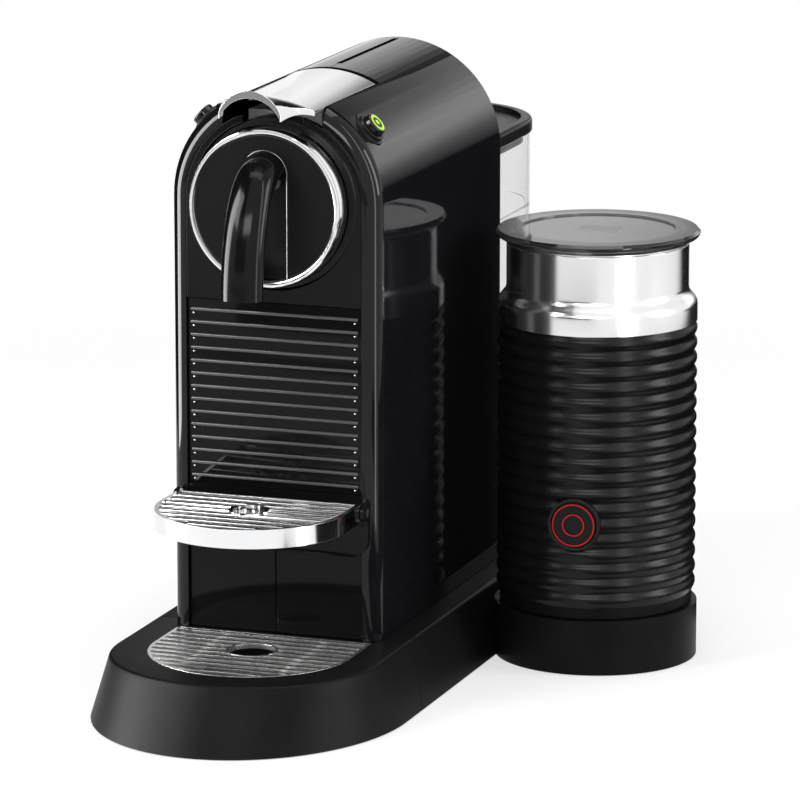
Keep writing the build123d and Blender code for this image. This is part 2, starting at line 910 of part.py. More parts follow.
with BuildPart() as front_cavity:
    with BuildSketch(floor):
        with BuildLine():
            baseOutline(
                cavity_half_width, base_front_straight, front_cavity_reach, 0, cavity_half_width
            )
        make_face()
    with BuildSketch(floor.offset(cavity_top)):
        with BuildLine():
            baseOutline(
                cavity_half_width_top,
                base_front_straight_top,
                front_cavity_reach_top,
                0,
                cavity_half_width_top,
            )
        make_face()
    loft(ruled=True)
    block(-base_half_width, base_half_width, tub_back - base_wall, base_rear, 0, base_height, Mode.SUBTRACT)

with BuildPart() as drip_base:
    add(base_form.part)
    split(bisect_by=parting.offset(-parting_gap / 2), keep=Keep.BOTTOM)
    add(front_cavity.part, mode=Mode.SUBTRACT)
    with BuildSketch(floor.offset(2 * foot_proud)):
        with BuildLine():
            frontRound(tub_radius + base_wall, grid_centre_y, tub_back)
        make_face()
    extrude(amount=cavity_top - 2 * foot_proud)
    with BuildSketch(floor.offset(base_height - grid_depth)):
        with BuildLine():
            frontRound(grid_radius, grid_centre_y, grid_back + seat_gap)
        make_face()
    extrude(amount=2 * grid_depth, mode=Mode.SUBTRACT)
    with BuildSketch(floor.offset(tray_floor_z)):
        with BuildLine():
            frontRound(tub_radius, grid_centre_y, tub_back)
        make_face()
    extrude(amount=base_height, mode=Mode.SUBTRACT)
    block(-tongue_half_width, tongue_half_width, tub_back, tongue_back, tongue_bottom, tongue_top)
    block(
        -container_half_width - slide_gap,
        container_half_width + slide_gap,
        container_front - slide_gap,
        tongue_back + 1,
        tongue_top,
        2 * base_height,
        Mode.SUBTRACT,
    )
save(drip_base, "drip_base")

tray_bottom = tray_floor_z + seat_gap
tray_radius = tub_radius - seat_gap
with BuildPart() as drip_tray:
    with BuildSketch(floor.offset(tray_bottom)):
        with BuildLine():
            frontRound(tray_radius, grid_centre_y, tub_back - seat_gap)
        make_face()
    extrude(amount=base_height - grid_depth - tray_bottom)
    with BuildSketch(floor.offset(tray_bottom + tray_wall)):
        with BuildLine():
            frontRound(tray_radius - tray_wall, grid_centre_y, tub_back - seat_gap - tray_wall)
        make_face()
    extrude(amount=base_height, mode=Mode.SUBTRACT)
save(drip_tray, "drip_tray")


def rodPlaces(front_y, back_y, pitch):
    """Evenly spaced places for rods, the first one half a pitch from the back."""
    count = int((back_y - front_y) / pitch)
    return [back_y - pitch * (n + 0.5) for n in range(count)]


grid_bottom = base_height - grid_depth
rod_bottom = base_height - grid_rod_height
grid_outer = grid_radius - seat_gap
grid_inner = grid_outer - grid_frame_width

with BuildPart() as drip_grid:
    with BuildSketch(floor.offset(grid_bottom)):
        with BuildLine():
            frontRound(grid_outer, grid_centre_y, grid_back)
        make_face()
    extrude(amount=grid_depth)
    with BuildSketch(floor.offset(grid_bottom)):
        with BuildLine():
            frontRound(grid_inner, grid_centre_y, grid_back - grid_frame_width)
        make_face()
        for x in (-grid_radius / 2, grid_radius / 2):
            with Locations((x, (grid_centre_y + grid_back) / 2)):
                Rectangle(grid_frame_width, 2 * grid_radius, mode=Mode.SUBTRACT)
    extrude(amount=rod_bottom - grid_bottom, mode=Mode.SUBTRACT)
    with BuildSketch(floor.offset(rod_bottom)):
        with BuildLine():
            frontRound(grid_inner, grid_centre_y, grid_back - grid_frame_width)
        make_face()
        for y in rodPlaces(grid_centre_y - grid_radius, grid_back, grid_rod_pitch):
            with Locations((0, y)):
                Rectangle(2 * grid_radius, grid_rod_width, mode=Mode.SUBTRACT)
        with Locations((0, grid_hole_y)):
            Circle(grid_hole_radius + grid_hole_rim, mode=Mode.SUBTRACT)
    extrude(amount=grid_rod_height, mode=Mode.SUBTRACT)
    post(0, grid_hole_y, grid_hole_radius, 0, 2 * base_height, Mode.SUBTRACT)
save(drip_grid, "drip_grid")

with BuildPart() as splash_wall:
    block(
        -panel_half_width,
        panel_half_width,
        splash_inset,
        panel_back,
        base_height + seat_gap,
        carrier_bottom - seat_gap,
    )
    block(
        -backsplash_groove / 2,
        backsplash_groove / 2,
        splash_inset - 1,
        splash_inset + backsplash_groove,
        base_height,
        carrier_bottom,
        Mode.SUBTRACT,
    )
save(splash_wall, "splash_wall")

with BuildPart() as ribbed_panel:
    block(
        -panel_half_width,
        panel_half_width,
        panel_inset,
        panel_back,
        panel_bottom + seat_gap,
        panel_top - seat_gap,
    )
    for n in range(rib_count):
        rib_z = rib_lowest + n * rib_pitch
        block(
            rib_margin - panel_half_width,
            panel_half_width - rib_margin,
            panel_inset - rib_reach,
            panel_inset,
            rib_z - rib_height / 2,
            rib_z + rib_height / 2,
        )
save(ribbed_panel, "ribbed_panel")

with BuildPart() as capsule_container:
    block(
        -container_half_width,
        container_half_width,
        container_front,
        container_back,
        tongue_top,
        container_top,
    )
    fillet(capsule_container.edges().filter_by(Axis.Z), radius=container_corner)
    block(
        container_wall - container_half_width,
        container_half_width - container_wall,
        container_front + container_wall,
        container_back - container_wall,
        tongue_top + container_wall,
        container_top + 1,
        Mode.SUBTRACT,
    )
save(capsule_container, "capsule_container")

# ---- Cup support: its carrier, pins, rim, tray and rods ----

support_bottom = support_top - support_depth
support_pin_height = support_top - support_depth / 2
support_pin_y = panel_inset - rib_reach - seat_gap - support_depth / 2
support_inner = support_radius - support_rim
ear_in = support_radius + seat_gap
ear_out = ear_in + support_ear_width
carrier_top = support_bottom - slide_gap
carrier_back = -seat_gap

with BuildPart() as support_carrier:
    with BuildSketch(behind(carrier_back)) as carrier_outline:
        with Locations((0, (carrier_bottom + carrier_top) / 2)):
            Rectangle(2 * ear_out, carrier_top - carrier_bottom)
        fillet(carrier_outline.vertices().group_by(Axis.Y)[0], radius=carrier_corner)
    extrude(amount=carrier_reach)
    for x in (-ear_out, ear_in):
        block(x, x + support_ear_width, support_pin_y, carrier_back, carrier_top - 1, support_top)
        axleBar(support_pin_y, support_pin_height, support_ear_radius, x, x + support_ear_width)
    block(-panel_half_width, panel_half_width, carrier_back, panel_back, carrier_bottom, carrier_top)
    block(-panel_half_width, panel_half_width, panel_inset, panel_back, carrier_top, panel_bottom)
    axleBar(support_pin_y, support_pin_height, support_pin_radius, -ear_out, ear_out, Mode.SUBTRACT)
save(support_carrier, "support_carrier")

with BuildPart() as support_pins:
    for x in (-ear_out, support_inner):
        axleBar(support_pin_y, support_pin_height, support_pin_radius, x, x + ear_out - support_inner)
save(support_pins, "support_pins")

with BuildPart() as support_band:
    with BuildSketch(floor.offset(support_bottom)):
        with BuildLine():
            frontRound(support_radius, support_centre_y, support_pin_y)
        make_face()
    extrude(amount=support_depth)
    for x in (-support_radius, support_inner):
        axleBar(support_pin_y, support_pin_height, support_depth / 2, x, x + support_rim)
    with BuildSketch(floor.offset(support_bottom - 1)):
        with BuildLine():
            frontRound(support_inner, support_centre_y, support_radius)
        make_face()
    extrude(amount=support_depth + 2, mode=Mode.SUBTRACT)
    axleBar(
        support_pin_y,
        support_pin_height,
        support_pin_radius + shaft_gap,
        -support_radius,
        support_radius,
        Mode.SUBTRACT,
    )
save(support_band, "support_band")

support_tray_back = support_pin_y - support_pin_radius - slide_gap
support_tray_bottom = support_bottom + seat_gap
support_tray_radius = support_inner - seat_gap
with BuildPart() as support_tray:
    with BuildSketch(floor.offset(support_tray_bottom)):
        with BuildLine():
            frontRound(support_tray_radius, support_centre_y, support_tray_back)
        make_face()
        with Locations((0, support_hole_y)):
            Circle(support_hole_radius / 2, mode=Mode.SUBTRACT)
    extrude(amount=support_floor)
    block(
        -support_tray_radius,
        support_tray_radius,
        support_tray_back - support_floor,
        support_tray_back,
        support_tray_bottom,
        support_top,
    )
save(support_tray, "support_tray")

support_grid_back = support_tray_back - support_floor
support_rod_z = support_top - support_rod_radius - seat_gap
bar_bottom = support_tray_bottom + support_floor
with BuildPart() as support_grid:
    for y in rodPlaces(support_centre_y - support_tray_radius, support_grid_back, support_rod_pitch):
        beside = max(support_centre_y - y + support_rod_radius, 0)
        reach = sqrt(support_tray_radius**2 - beside**2)
        axleBar(y, support_rod_z, support_rod_radius, -reach, reach)
    for x in (-support_tray_radius / 2, 0, support_tray_radius / 2):
        block(
            x - support_rod_radius,
            x + support_rod_radius,
            support_centre_y - sqrt(support_tray_radius**2 - (abs(x) + support_rod_radius) ** 2),
            support_grid_back,
            bar_bottom,
            support_rod_z,
        )
    post(0, support_hole_y, support_hole_radius, bar_bottom, support_top)
    post(0, support_hole_y, support_hole_radius - support_hole_rim, 0, 2 * support_top, Mode.SUBTRACT)
save(support_grid, "support_grid")

# ---- Brew group: bulkhead with cheeks, brew plate, sliding cage and chute ----

guide_end = cage_start + cage_length + cage_travel
guide_out = cage_guide_height + slide_gap + cage_guide_height
boiler_front = wall_back + boiler_post
board_front = wall_back + board_post
brew_tube_y = brew_plate_y + brew_plate_thickness / 4
brew_lug_half = brew_plate_radius / 2

with BuildPart() as brew_frame:
    with BuildSketch(behind(wall_back)):
        with BuildLine():
            archOutline(inner_half_width - seat_gap, base_height)
        make_face()
    extrude(amount=wall_thickness)
    for x in (-cheek_x - cheek_thickness, cheek_x):
        block(x, x + cheek_thickness, drum_back, wall_y, cheek_bottom, cheek_low_top)
        block(x, x + cheek_thickness, chute_back, wall_y, cheek_low_top, cheek_top)
    for x in (-cheek_x, cheek_x - cage_guide_reach):
        for z in (brew_height - guide_out, brew_height + cage_guide_height + slide_gap):
            block(x, x + cage_guide_reach, cage_start, guide_end, z, z + cage_guide_height)
    for x in (-boiler_width / 3, boiler_width / 3):
        for z in (boiler_bottom + boiler_height / 4, boiler_bottom + boiler_height * 3 / 4):
            barrel(x, z, boiler_post_radius, wall_back, boiler_front)
    for x in (-board_width / 3, board_width / 3):
        for z in (board_bottom + board_height / 6, board_bottom + board_height * 3 / 4):
            barrel(x, z, board_post_radius, wall_back, board_front)
    axleBar(
        lever_axle_y,
        lever_axle_z,
        lever_axle_radius + shaft_gap,
        -axle_half_length,
        axle_half_length,
        Mode.SUBTRACT,
    )
    axleBar(brew_tube_y, brew_tube_z, tube_radius + shaft_gap, cheek_x, 2 * cheek_x, Mode.SUBTRACT)
    barrel(brew_tube_x, brew_tube_z, tube_radius + shaft_gap, wall_y, wall_back, Mode.SUBTRACT)
save(brew_frame, "brew_frame")

with BuildPart() as brew_plate:
    barrel(0, brew_height, brew_plate_radius, brew_plate_y, brew_plate_y + brew_plate_thickness)
    block(
        -cheek_x,
        cheek_x,
        brew_plate_y,
        brew_plate_y + brew_plate_thickness / 2,
        brew_height - brew_lug_half,
        brew_height + brew_lug_half,
    )
    barrel(0, nozzle_z, nozzle_bore, brew_plate_y - 1, brew_plate_y + brew_plate_thickness / 2, Mode.SUBTRACT)
save(brew_plate, "brew_plate")

with BuildPart() as capsule_cage:
    barrel(0, brew_height, cage_radius, cage_start, cage_start + cage_length)
    block(
        seat_gap - cheek_x,
        cheek_x - seat_gap,
        cage_start + cage_back_wall,
        cage_start + cage_length - cage_back_wall,
        brew_height - cage_guide_height,
        brew_height + cage_guide_height,
    )
    barrel(0, brew_height, cage_bore, cage_start - 1, cage_start + cage_length - cage_back_wall, Mode.SUBTRACT)
save(capsule_cage, "capsule_cage")

with BuildPart() as capsule_chute:
    block(
        -chute_half_width - chute_wall,
        chute_half_width + chute_wall,
        chute_front,
        chute_back - seat_gap,
        chute_bottom,
        chute_top,
    )
    block(-cheek_x, cheek_x, chute_front, chute_back - seat_gap, chute_bottom, chute_bottom + chute_wall)
    block(
        -chute_half_width,
        chute_half_width,
        chute_front + chute_wall,
        chute_back - seat_gap - chute_wall,
        chute_bottom - 1,
        chute_top + 1,
        Mode.SUBTRACT,
    )
save(capsule_chute, "capsule_chute")

# ---- Water side: tank, pump, heater, meter, tubes and board ----

tank_floor_top = tank_floor_z + tank_wall
tank_inner = tank_radius - tank_wall
tank_inner_front = tank_front + tank_wall
seat_top = base_height + valve_seat_height

with BuildPart() as water_tank:
    with BuildSketch(floor.offset(tank_bottom)):
        with BuildLine():
            tankOutline(tank_radius, tank_front)
        make_face()
    extrude(amount=tank_top - tank_bottom)
    with BuildSketch(floor.offset(tank_floor_top)):
        with BuildLine():
            tankOutline(tank_inner, tank_inner_front)
        make_face()
    extrude(amount=tank_top, mode=Mode.SUBTRACT)
    with BuildSketch(floor.offset(tank_bottom - 1)):
        with BuildLine():
            tankOutline(tank_inner, tank_inner_front)
        make_face()
    extrude(amount=tank_floor_z - tank_bottom + 1, mode=Mode.SUBTRACT)
    with BuildSketch(floor.offset(fill_line_z)):
        with BuildLine():
            tankOutline(tank_inner, tank_inner_front)
        make_face()
        with BuildLine():
            tankOutline(tank_inner - fill_line_reach, tank_inner_front + fill_line_reach)
        make_face(mode=Mode.SUBTRACT)
    extrude(amount=fill_line_reach)
    post(0, tank_valve_y, valve_radius + shaft_gap, tank_bottom, tank_floor_top + 1, Mode.SUBTRACT)
save(water_tank, "water_tank")

valve_bottom = seat_top + seat_gap
with BuildPart() as tank_valve:
    post(0, tank_valve_y, valve_radius, valve_bottom, tank_floor_top + valve_height)
    post(0, tank_valve_y, valve_radius + valve_flange, tank_floor_top, tank_floor_top + valve_flange)
    post(0, tank_valve_y, valve_bore, valve_bottom - 1, tank_floor_top + valve_height + 1, Mode.SUBTRACT)
save(tank_valve, "tank_valve")

with BuildPart() as tank_seat:
    post(0, tank_valve_y, valve_seat_radius, base_height, seat_top)
    post(0, tank_valve_y, tube_radius, cavity_top, base_height)
    post(0, tank_valve_y, tube_bore, cavity_top - 1, seat_top + 1, Mode.SUBTRACT)
save(tank_seat, "tank_seat")

lid_bottom = tank_top + seat_gap
lid_top = lid_bottom + lid_thickness
lid_radius = tank_radius + lid_rim
with BuildPart() as tank_lid:
    with BuildSketch(floor.offset(lid_bottom)):
        with BuildLine():
            tankOutline(lid_radius, tank_front - lid_rim)
        make_face()
    extrude(amount=lid_thickness)
    fillet(tank_lid.faces().sort_by(Axis.Z)[-1].edges(), radius=lid_edge_round)
    with BuildSketch(floor.offset(lid_top - lid_dish)):
        with BuildLine():
            tankOutline(lid_radius - lid_border, tank_front - lid_rim + lid_border)
        make_face()
    extrude(amount=lid_dish + 1, mode=Mode.SUBTRACT)
    with BuildSketch(floor.offset(lid_bottom - lid_plug_depth)):
        with BuildLine():
            tankOutline(tank_radius - lid_plug_inset, tank_front + lid_plug_inset)
        make_face()
        with BuildLine():
            tankOutline(tank_radius - lid_plug_inset - tank_wall, tank_front + lid_plug_inset + tank_wall)
        make_face(mode=Mode.SUBTRACT)
    extrude(amount=lid_plug_depth)
save(tank_lid, "tank_lid")

pump_half = pump_length / 2
with BuildPart() as water_pump:
    axleBar(pump_y, pump_z, pump_radius, -pump_half, pump_half)
    axleBar(pump_y, pump_z, pump_cap_radius, -pump_half - pump_cap_length, pump_half + pump_cap_length)
save(water_pump, "water_pump")

with BuildPart() as pump_mounts:
    for x in (-pump_half / 2, pump_half / 2):
        block(
            x - mount_thickness / 2,
            x + mount_thickness / 2,
            pump_y - mount_width,
            pump_y + mount_width,
            base_height,
            pump_z,
        )
    axleBar(pump_y, pump_z, pump_radius + seat_gap, -pump_half, pump_half, Mode.SUBTRACT)
save(pump_mounts, "pump_mounts")

with BuildPart() as heater_block:
    block(
        -boiler_width / 2,
        boiler_width / 2,
        boiler_front,
        boiler_front + boiler_depth,
        boiler_bottom,
        boiler_bottom + boiler_height,
    )
    fillet(heater_block.edges().filter_by(Axis.Y), radius=boiler_corner)
save(heater_block, "heater_block")

board_back = board_front + board_thickness
with BuildPart() as control_board:
    block(
        -board_width / 2,
        board_width / 2,
        board_front,
        board_back,
        board_bottom,
        board_bottom + board_height,
    )
    for x in (-board_width / 4, board_width / 4):
        block(
            x - relay_width / 2,
            x + relay_width / 2,
            board_back,
            board_back + relay_height,
            board_bottom + board_height / 3,
            board_bottom + board_height * 2 / 3,
        )
save(control_board, "control_board")

meter_top = base_height + meter_height
with BuildPart() as flow_meter:
    post(meter_x, meter_y, meter_radius, base_height, meter_top)
save(flow_meter, "flow_meter")


def saveTube(name, *corners):
    """A round tube that runs from corner to corner with bends between, measured from the machine's own plane."""
    run = [Vector(machine_x + x, machine_y + y, z) for x, y, z in corners]
    with BuildPart() as tube:
        with BuildLine() as path:
            FilletPolyline(*run, radius=tube_bend)
        with BuildSketch(Plane(origin=run[0], z_dir=run[1] - run[0])):
            Circle(tube_radius)
            Circle(tube_bore, mode=Mode.SUBTRACT)
        sweep(path=path.wire())
    save(tube, name)


under_deck_z = cavity_top - tube_drop
pump_cap_x = pump_half + pump_cap_length / 2
pump_cap_back = pump_y + pump_cap_radius + seat_gap
pump_cap_top = pump_z + pump_cap_radius + seat_gap
heater_tube_x = boiler_width / 4
heater_tube_y = boiler_front + boiler_depth / 2
heater_tube_z = (pump_cap_top + boiler_bottom) / 2
brew_tube_start_z = boiler_bottom + boiler_height * 3 / 4
saveTube(
    "feed_tube",
    (0, tank_valve_y, cavity_top),
    (0, tank_valve_y, under_deck_z),
    (meter_x, meter_y, under_deck_z),
    (meter_x, meter_y, base_height),
)
saveTube(
    "pump_tube",
    (meter_x, meter_y, meter_top),
    (meter_x, meter_y, pump_z),
    (meter_x, pump_cap_back, pump_z),
)
saveTube(
    "heater_tube",
    (pump_cap_x, pump_y, pump_cap_top),
    (pump_cap_x, pump_y, heater_tube_z),
    (heater_tube_x, heater_tube_y, heater_tube_z),
    (heater_tube_x, heater_tube_y, boiler_bottom),
)
saveTube(
    "brew_tube",
    (boiler_width / 2, heater_tube_y, brew_tube_start_z),
    (brew_tube_x, heater_tube_y, brew_tube_start_z),
    (brew_tube_x, heater_tube_y, brew_tube_z),
    (brew_tube_x, brew_tube_y, brew_tube_z),
    (cheek_x, brew_tube_y, brew_tube_z),
)

# ---- Frother: base, ribbed jacket, collar, jug, motor, whisk, lid and button ----

spigot_bottom = dock_floor + seat_gap
flange_bottom = dock_height + seat_gap
connector_top = dock_floor + dock_plug_height
socket_top = connector_top + seat_gap
jacket_inner = frother_radius - frother_rib_depth - jacket_wall
jug_flange_bottom = neck_top - jug_wall


def jar(radius, z_from, z_to, mode=Mode.ADD):
    """An upright round block on the frother's own centre line."""
    post(dock_x, dock_y, radius, z_from, z_to, mode)


with BuildPart() as dock_connector:
    jar(dock_plug_radius, dock_floor, connector_top)
    jar(dock_plug_radius - dock_plug_wall, dock_floor + dock_plug_wall, socket_top, Mode.SUBTRACT)
    jar(dock_plug_radius / 3, dock_floor, connector_top)
save(dock_connector, "dock_connector")

with BuildPart() as frother_base:
    jar(dock_recess_radius - slide_gap, spigot_bottom, jacket_bottom)
    jar(frother_base_radius, flange_bottom, jacket_bottom)
    jar(jacket_inner - seat_gap, jacket_bottom, jacket_bottom + frother_base_step)
    jar(dock_plug_radius + slide_gap, 0, socket_top, Mode.SUBTRACT)
save(frother_base, "frother_base")


def frotherPlane(reach):
    """A plane that faces out of the frother's side at its button, reach away from its centre line."""
    out_x = sin(radians(frother_button_angle))
    out_y = -cos(radians(frother_button_angle))
    return Plane(
        origin=(machine_x + dock_x + reach * out_x, machine_y + dock_y + reach * out_y, frother_button_z),
        x_dir=(-out_y, out_x, 0),
        z_dir=(out_x, out_y, 0),
    )


groove_pitch = (jacket_top - jacket_bottom) / frother_rib_count
with BuildPart() as frother_jacket:
    with BuildSketch(dock_section):
        with Locations(((frother_radius + jacket_inner) / 2, (jacket_top + jacket_bottom) / 2)):
            Rectangle(frother_radius - jacket_inner, jacket_top - jacket_bottom)
        for n in range(1, frother_rib_count):
            with Locations((frother_radius, jacket_bottom + n * groove_pitch)):
                Rectangle(2 * frother_rib_depth, frother_groove, mode=Mode.SUBTRACT)
    revolve(axis=dock_axis)
    with BuildSketch(frotherPlane(0)):
        Circle(frother_bezel_radius + seat_gap)
    extrude(amount=2 * frother_radius, mode=Mode.SUBTRACT)
save(frother_jacket, "frother_jacket")

neck_inner = neck_radius - collar_wall
with BuildPart() as frother_collar:
    with BuildSketch(dock_section):
        with BuildLine():
            Line((frother_radius, jacket_top), (frother_radius, shoulder_bottom))
            Spline((frother_radius, shoulder_bottom), (neck_radius, shoulder_top), tangents=((0, 1), (0, 1)))
            Polyline(
                (neck_radius, shoulder_top),
                (neck_radius, jug_flange_bottom),
                (neck_inner, jug_flange_bottom),
                (neck_inner, shoulder_top - collar_wall),
                (jacket_inner, shoulder_bottom - collar_wall),
                (jacket_inner, jacket_top),
                (frother_radius, jacket_top),
            )
        make_face()
    revolve(axis=dock_axis)
save(frother_collar, "frother_collar")

jug_bottom = jug_floor_z - jug_wall
with BuildPart() as frother_jug:
    jar(jug_radius, jug_bottom, neck_top)
    fillet(frother_jug.edges().sort_by(Axis.Z)[0], radius=jug_corner)
    jar(neck_radius, jug_flange_bottom, neck_top)
    jar(jug_radius - jug_wall, jug_floor_z + jug_corner, neck_top + 1, Mode.SUBTRACT)
    jar(jug_radius - jug_corner, jug_floor_z, neck_top + 1, Mode.SUBTRACT)
    jar(spindle_radius, jug_floor_z, jug_floor_z + spindle_height)
save(frother_jug, "frother_jug")

motor_bottom = jacket_bottom + frother_base_step
with BuildPart() as frother_motor:
    jar(motor_radius, motor_bottom, motor_bottom + motor_height)
    jar(motor_hub_radius, motor_bottom, jug_bottom - seat_gap)
save(frother_motor, "frother_motor")

whisk_bottom = jug_floor_z + whisk_lift
with BuildPart() as whisk:
    jar(whisk_radius, whisk_bottom, whisk_bottom + whisk_height)
    jar(whisk_radius - whisk_wire, 0, neck_top, Mode.SUBTRACT)
    block(
        dock_x - whisk_radius + whisk_wire / 2,
        dock_x + whisk_radius - whisk_wire / 2,
        dock_y - whisk_wire,
        dock_y + whisk_wire,
        whisk_bottom,
        whisk_bottom + whisk_wire,
    )
    jar(spindle_radius + 2 * whisk_wire, whisk_bottom, whisk_bottom + whisk_height)
    jar(spindle_radius + shaft_gap, 0, neck_top, Mode.SUBTRACT)
save(whisk, "whisk")

frother_lid_bottom = neck_top + seat_gap
lid_roof_bottom = frother_lid_top - frother_lid_wall
plug_radius = jug_radius - jug_wall - frother_seal_width
plug_inner = plug_radius - frother_lid_wall
lid_foot_radius = frother_lid_radius - frother_lid_foot
seal_bottom = frother_lid_bottom - frother_seal_height
with BuildPart() as frother_lid:
    with BuildSketch(dock_section):
        with BuildLine():
            Polyline(
                (lid_foot_radius, frother_lid_bottom),
                (0, frother_lid_bottom),
                (0, frother_lid_top),
                (frother_lid_radius - frother_lid_edge, frother_lid_top),
                (frother_lid_radius, frother_lid_top - frother_lid_edge),
            )
            Spline(
                (frother_lid_radius, frother_lid_top - frother_lid_edge),
                (lid_foot_radius, frother_lid_bottom),
                tangents=((0, -1), (-1, -1)),
            )
        make_face()
    revolve(axis=dock_axis)
    jar(frother_lid_well, frother_lid_top - frother_lid_well_depth, frother_lid_top + 1, Mode.SUBTRACT)
    jar(plug_radius, frother_lid_bottom - frother_lid_plug, frother_lid_bottom)
    jar(plug_inner, 0, lid_roof_bottom, Mode.SUBTRACT)
save(frother_lid, "frother_lid")

with BuildPart() as frother_lid_seal:
    jar(plug_radius + frother_seal_width - shaft_gap, seal_bottom, frother_lid_bottom)
    jar(plug_radius, seal_bottom - 1, frother_lid_bottom + 1, Mode.SUBTRACT)
save(frother_lid_seal, "frother_lid_seal")

with BuildPart() as whisk_holder:
    block(
        dock_x - holder_width / 2,
        dock_x + holder_width / 2,
        dock_y + holder_offset - holder_depth / 2,
        dock_y + holder_offset + holder_depth / 2,
        lid_roof_bottom - holder_height,
        lid_roof_bottom,
    )
save(whisk_holder, "whisk_holder")

bezel_bore = frother_bezel_radius - frother_bezel_wall
bezel_back = jug_radius + frother_bezel_wall
bezel_front = frother_radius + frother_bezel_reach
button_back = bezel_back + frother_bezel_wall + frother_button_travel + seat_gap
with BuildPart() as frother_bezel:
    with BuildSketch(frotherPlane(bezel_back)):
        Circle(frother_bezel_radius)
    extrude(amount=bezel_front - bezel_back)
    with BuildSketch(frotherPlane(bezel_back + frother_bezel_wall)):
        Circle(bezel_bore)
    extrude(amount=bezel_front, mode=Mode.SUBTRACT)
save(frother_bezel, "frother_bezel")

with BuildPart() as frother_button:
    with BuildSketch(frotherPlane(button_back)):
        Circle(bezel_bore - seat_gap)
    extrude(amount=bezel_front - button_back)
save(frother_button, "frother_button")
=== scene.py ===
import json
from math import atan2, cos, pi, radians, sin, sqrt

import bmesh
import bpy
from mathutils import Matrix, Vector

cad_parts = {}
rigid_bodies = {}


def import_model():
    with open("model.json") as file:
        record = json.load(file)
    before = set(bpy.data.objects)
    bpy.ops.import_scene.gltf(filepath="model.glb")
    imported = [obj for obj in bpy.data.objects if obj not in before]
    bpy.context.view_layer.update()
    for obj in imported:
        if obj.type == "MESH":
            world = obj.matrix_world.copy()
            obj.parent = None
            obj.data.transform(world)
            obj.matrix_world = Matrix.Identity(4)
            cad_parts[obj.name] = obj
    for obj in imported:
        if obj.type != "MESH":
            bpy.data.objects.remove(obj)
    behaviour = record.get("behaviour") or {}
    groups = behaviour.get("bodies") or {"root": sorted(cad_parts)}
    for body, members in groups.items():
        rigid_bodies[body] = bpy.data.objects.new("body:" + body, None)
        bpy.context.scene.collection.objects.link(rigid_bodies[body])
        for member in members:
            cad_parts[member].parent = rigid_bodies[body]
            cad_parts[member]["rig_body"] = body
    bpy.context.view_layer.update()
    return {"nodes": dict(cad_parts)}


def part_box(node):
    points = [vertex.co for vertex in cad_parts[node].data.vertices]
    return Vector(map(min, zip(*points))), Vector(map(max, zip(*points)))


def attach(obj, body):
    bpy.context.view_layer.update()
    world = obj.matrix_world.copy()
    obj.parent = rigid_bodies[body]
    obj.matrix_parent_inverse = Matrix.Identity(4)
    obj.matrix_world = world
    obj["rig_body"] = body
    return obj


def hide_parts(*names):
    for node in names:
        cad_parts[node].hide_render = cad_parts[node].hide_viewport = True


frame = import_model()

nodes = frame["nodes"]
mm = 0.001

# where things are, in metres, read off the frame
machineX = sum(corner.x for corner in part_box("rear_cover")) / 2
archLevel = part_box("housing_left")[1].z - (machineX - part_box("housing_left")[0].x)
dockX = sum(corner.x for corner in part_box("frother_jacket")) / 2
dockY = sum(corner.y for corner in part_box("frother_jacket")) / 2


# finishes


# A finish with a little cloudiness in its colour and gloss, and an optional fine grain.
def newLook(name, colour, rough, metal=0.0, grain=60.0, tint=0.15, roughSpread=0.05, bump=0.0, bumpScale=900.0,
            ior=1.5, specular=0.5, clear=0.0, stretch=(1, 1, 1)):
    look = bpy.data.materials.new(name)
    look.use_nodes = True
    tree = look.node_tree
    shader = tree.nodes["Principled BSDF"]
    place = tree.nodes.new("ShaderNodeTexCoord")
    mapping = tree.nodes.new("ShaderNodeMapping")
    mapping.inputs["Scale"].default_value = stretch
    tree.links.new(place.outputs["Object"], mapping.inputs["Vector"])
    cloud = tree.nodes.new("ShaderNodeTexNoise")
    cloud.inputs["Scale"].default_value = grain
    cloud.inputs["Detail"].default_value = 3
    tree.links.new(mapping.outputs["Vector"], cloud.inputs["Vector"])
    ramp = tree.nodes.new("ShaderNodeValToRGB")
    ramp.color_ramp.elements[0].position = 0.3
    ramp.color_ramp.elements[1].position = 0.7
    ramp.color_ramp.elements[0].color = [c * (1 - tint) for c in colour] + [1]
    ramp.color_ramp.elements[1].color = [min(1, c * (1 + tint)) for c in colour] + [1]
    tree.links.new(cloud.outputs["Fac"], ramp.inputs["Fac"])
    tree.links.new(ramp.outputs["Color"], shader.inputs["Base Color"])
    spread = tree.nodes.new("ShaderNodeMapRange")
    spread.inputs["To Min"].default_value = max(0.0, rough - roughSpread)
    spread.inputs["To Max"].default_value = rough + roughSpread
    tree.links.new(cloud.outputs["Fac"], spread.inputs["Value"])
    tree.links.new(spread.outputs["Result"], shader.inputs["Roughness"])
    if bump:
        fine = tree.nodes.new("ShaderNodeTexNoise")
        fine.inputs["Scale"].default_value = bumpScale
        fine.inputs["Detail"].default_value = 2
        tree.links.new(mapping.outputs["Vector"], fine.inputs["Vector"])
        lift = tree.nodes.new("ShaderNodeBump")
        lift.inputs["Strength"].default_value = bump
        lift.inputs["Distance"].default_value = 0.0002
        tree.links.new(fine.outputs["Fac"], lift.inputs["Height"])
        tree.links.new(lift.outputs["Normal"], shader.inputs["Normal"])
    shader.inputs["Metallic"].default_value = metal
    shader.inputs["IOR"].default_value = ior
    shader.inputs["Specular IOR Level"].default_value = specular
    shader.inputs["Transmission Weight"].default_value = clear
    return look


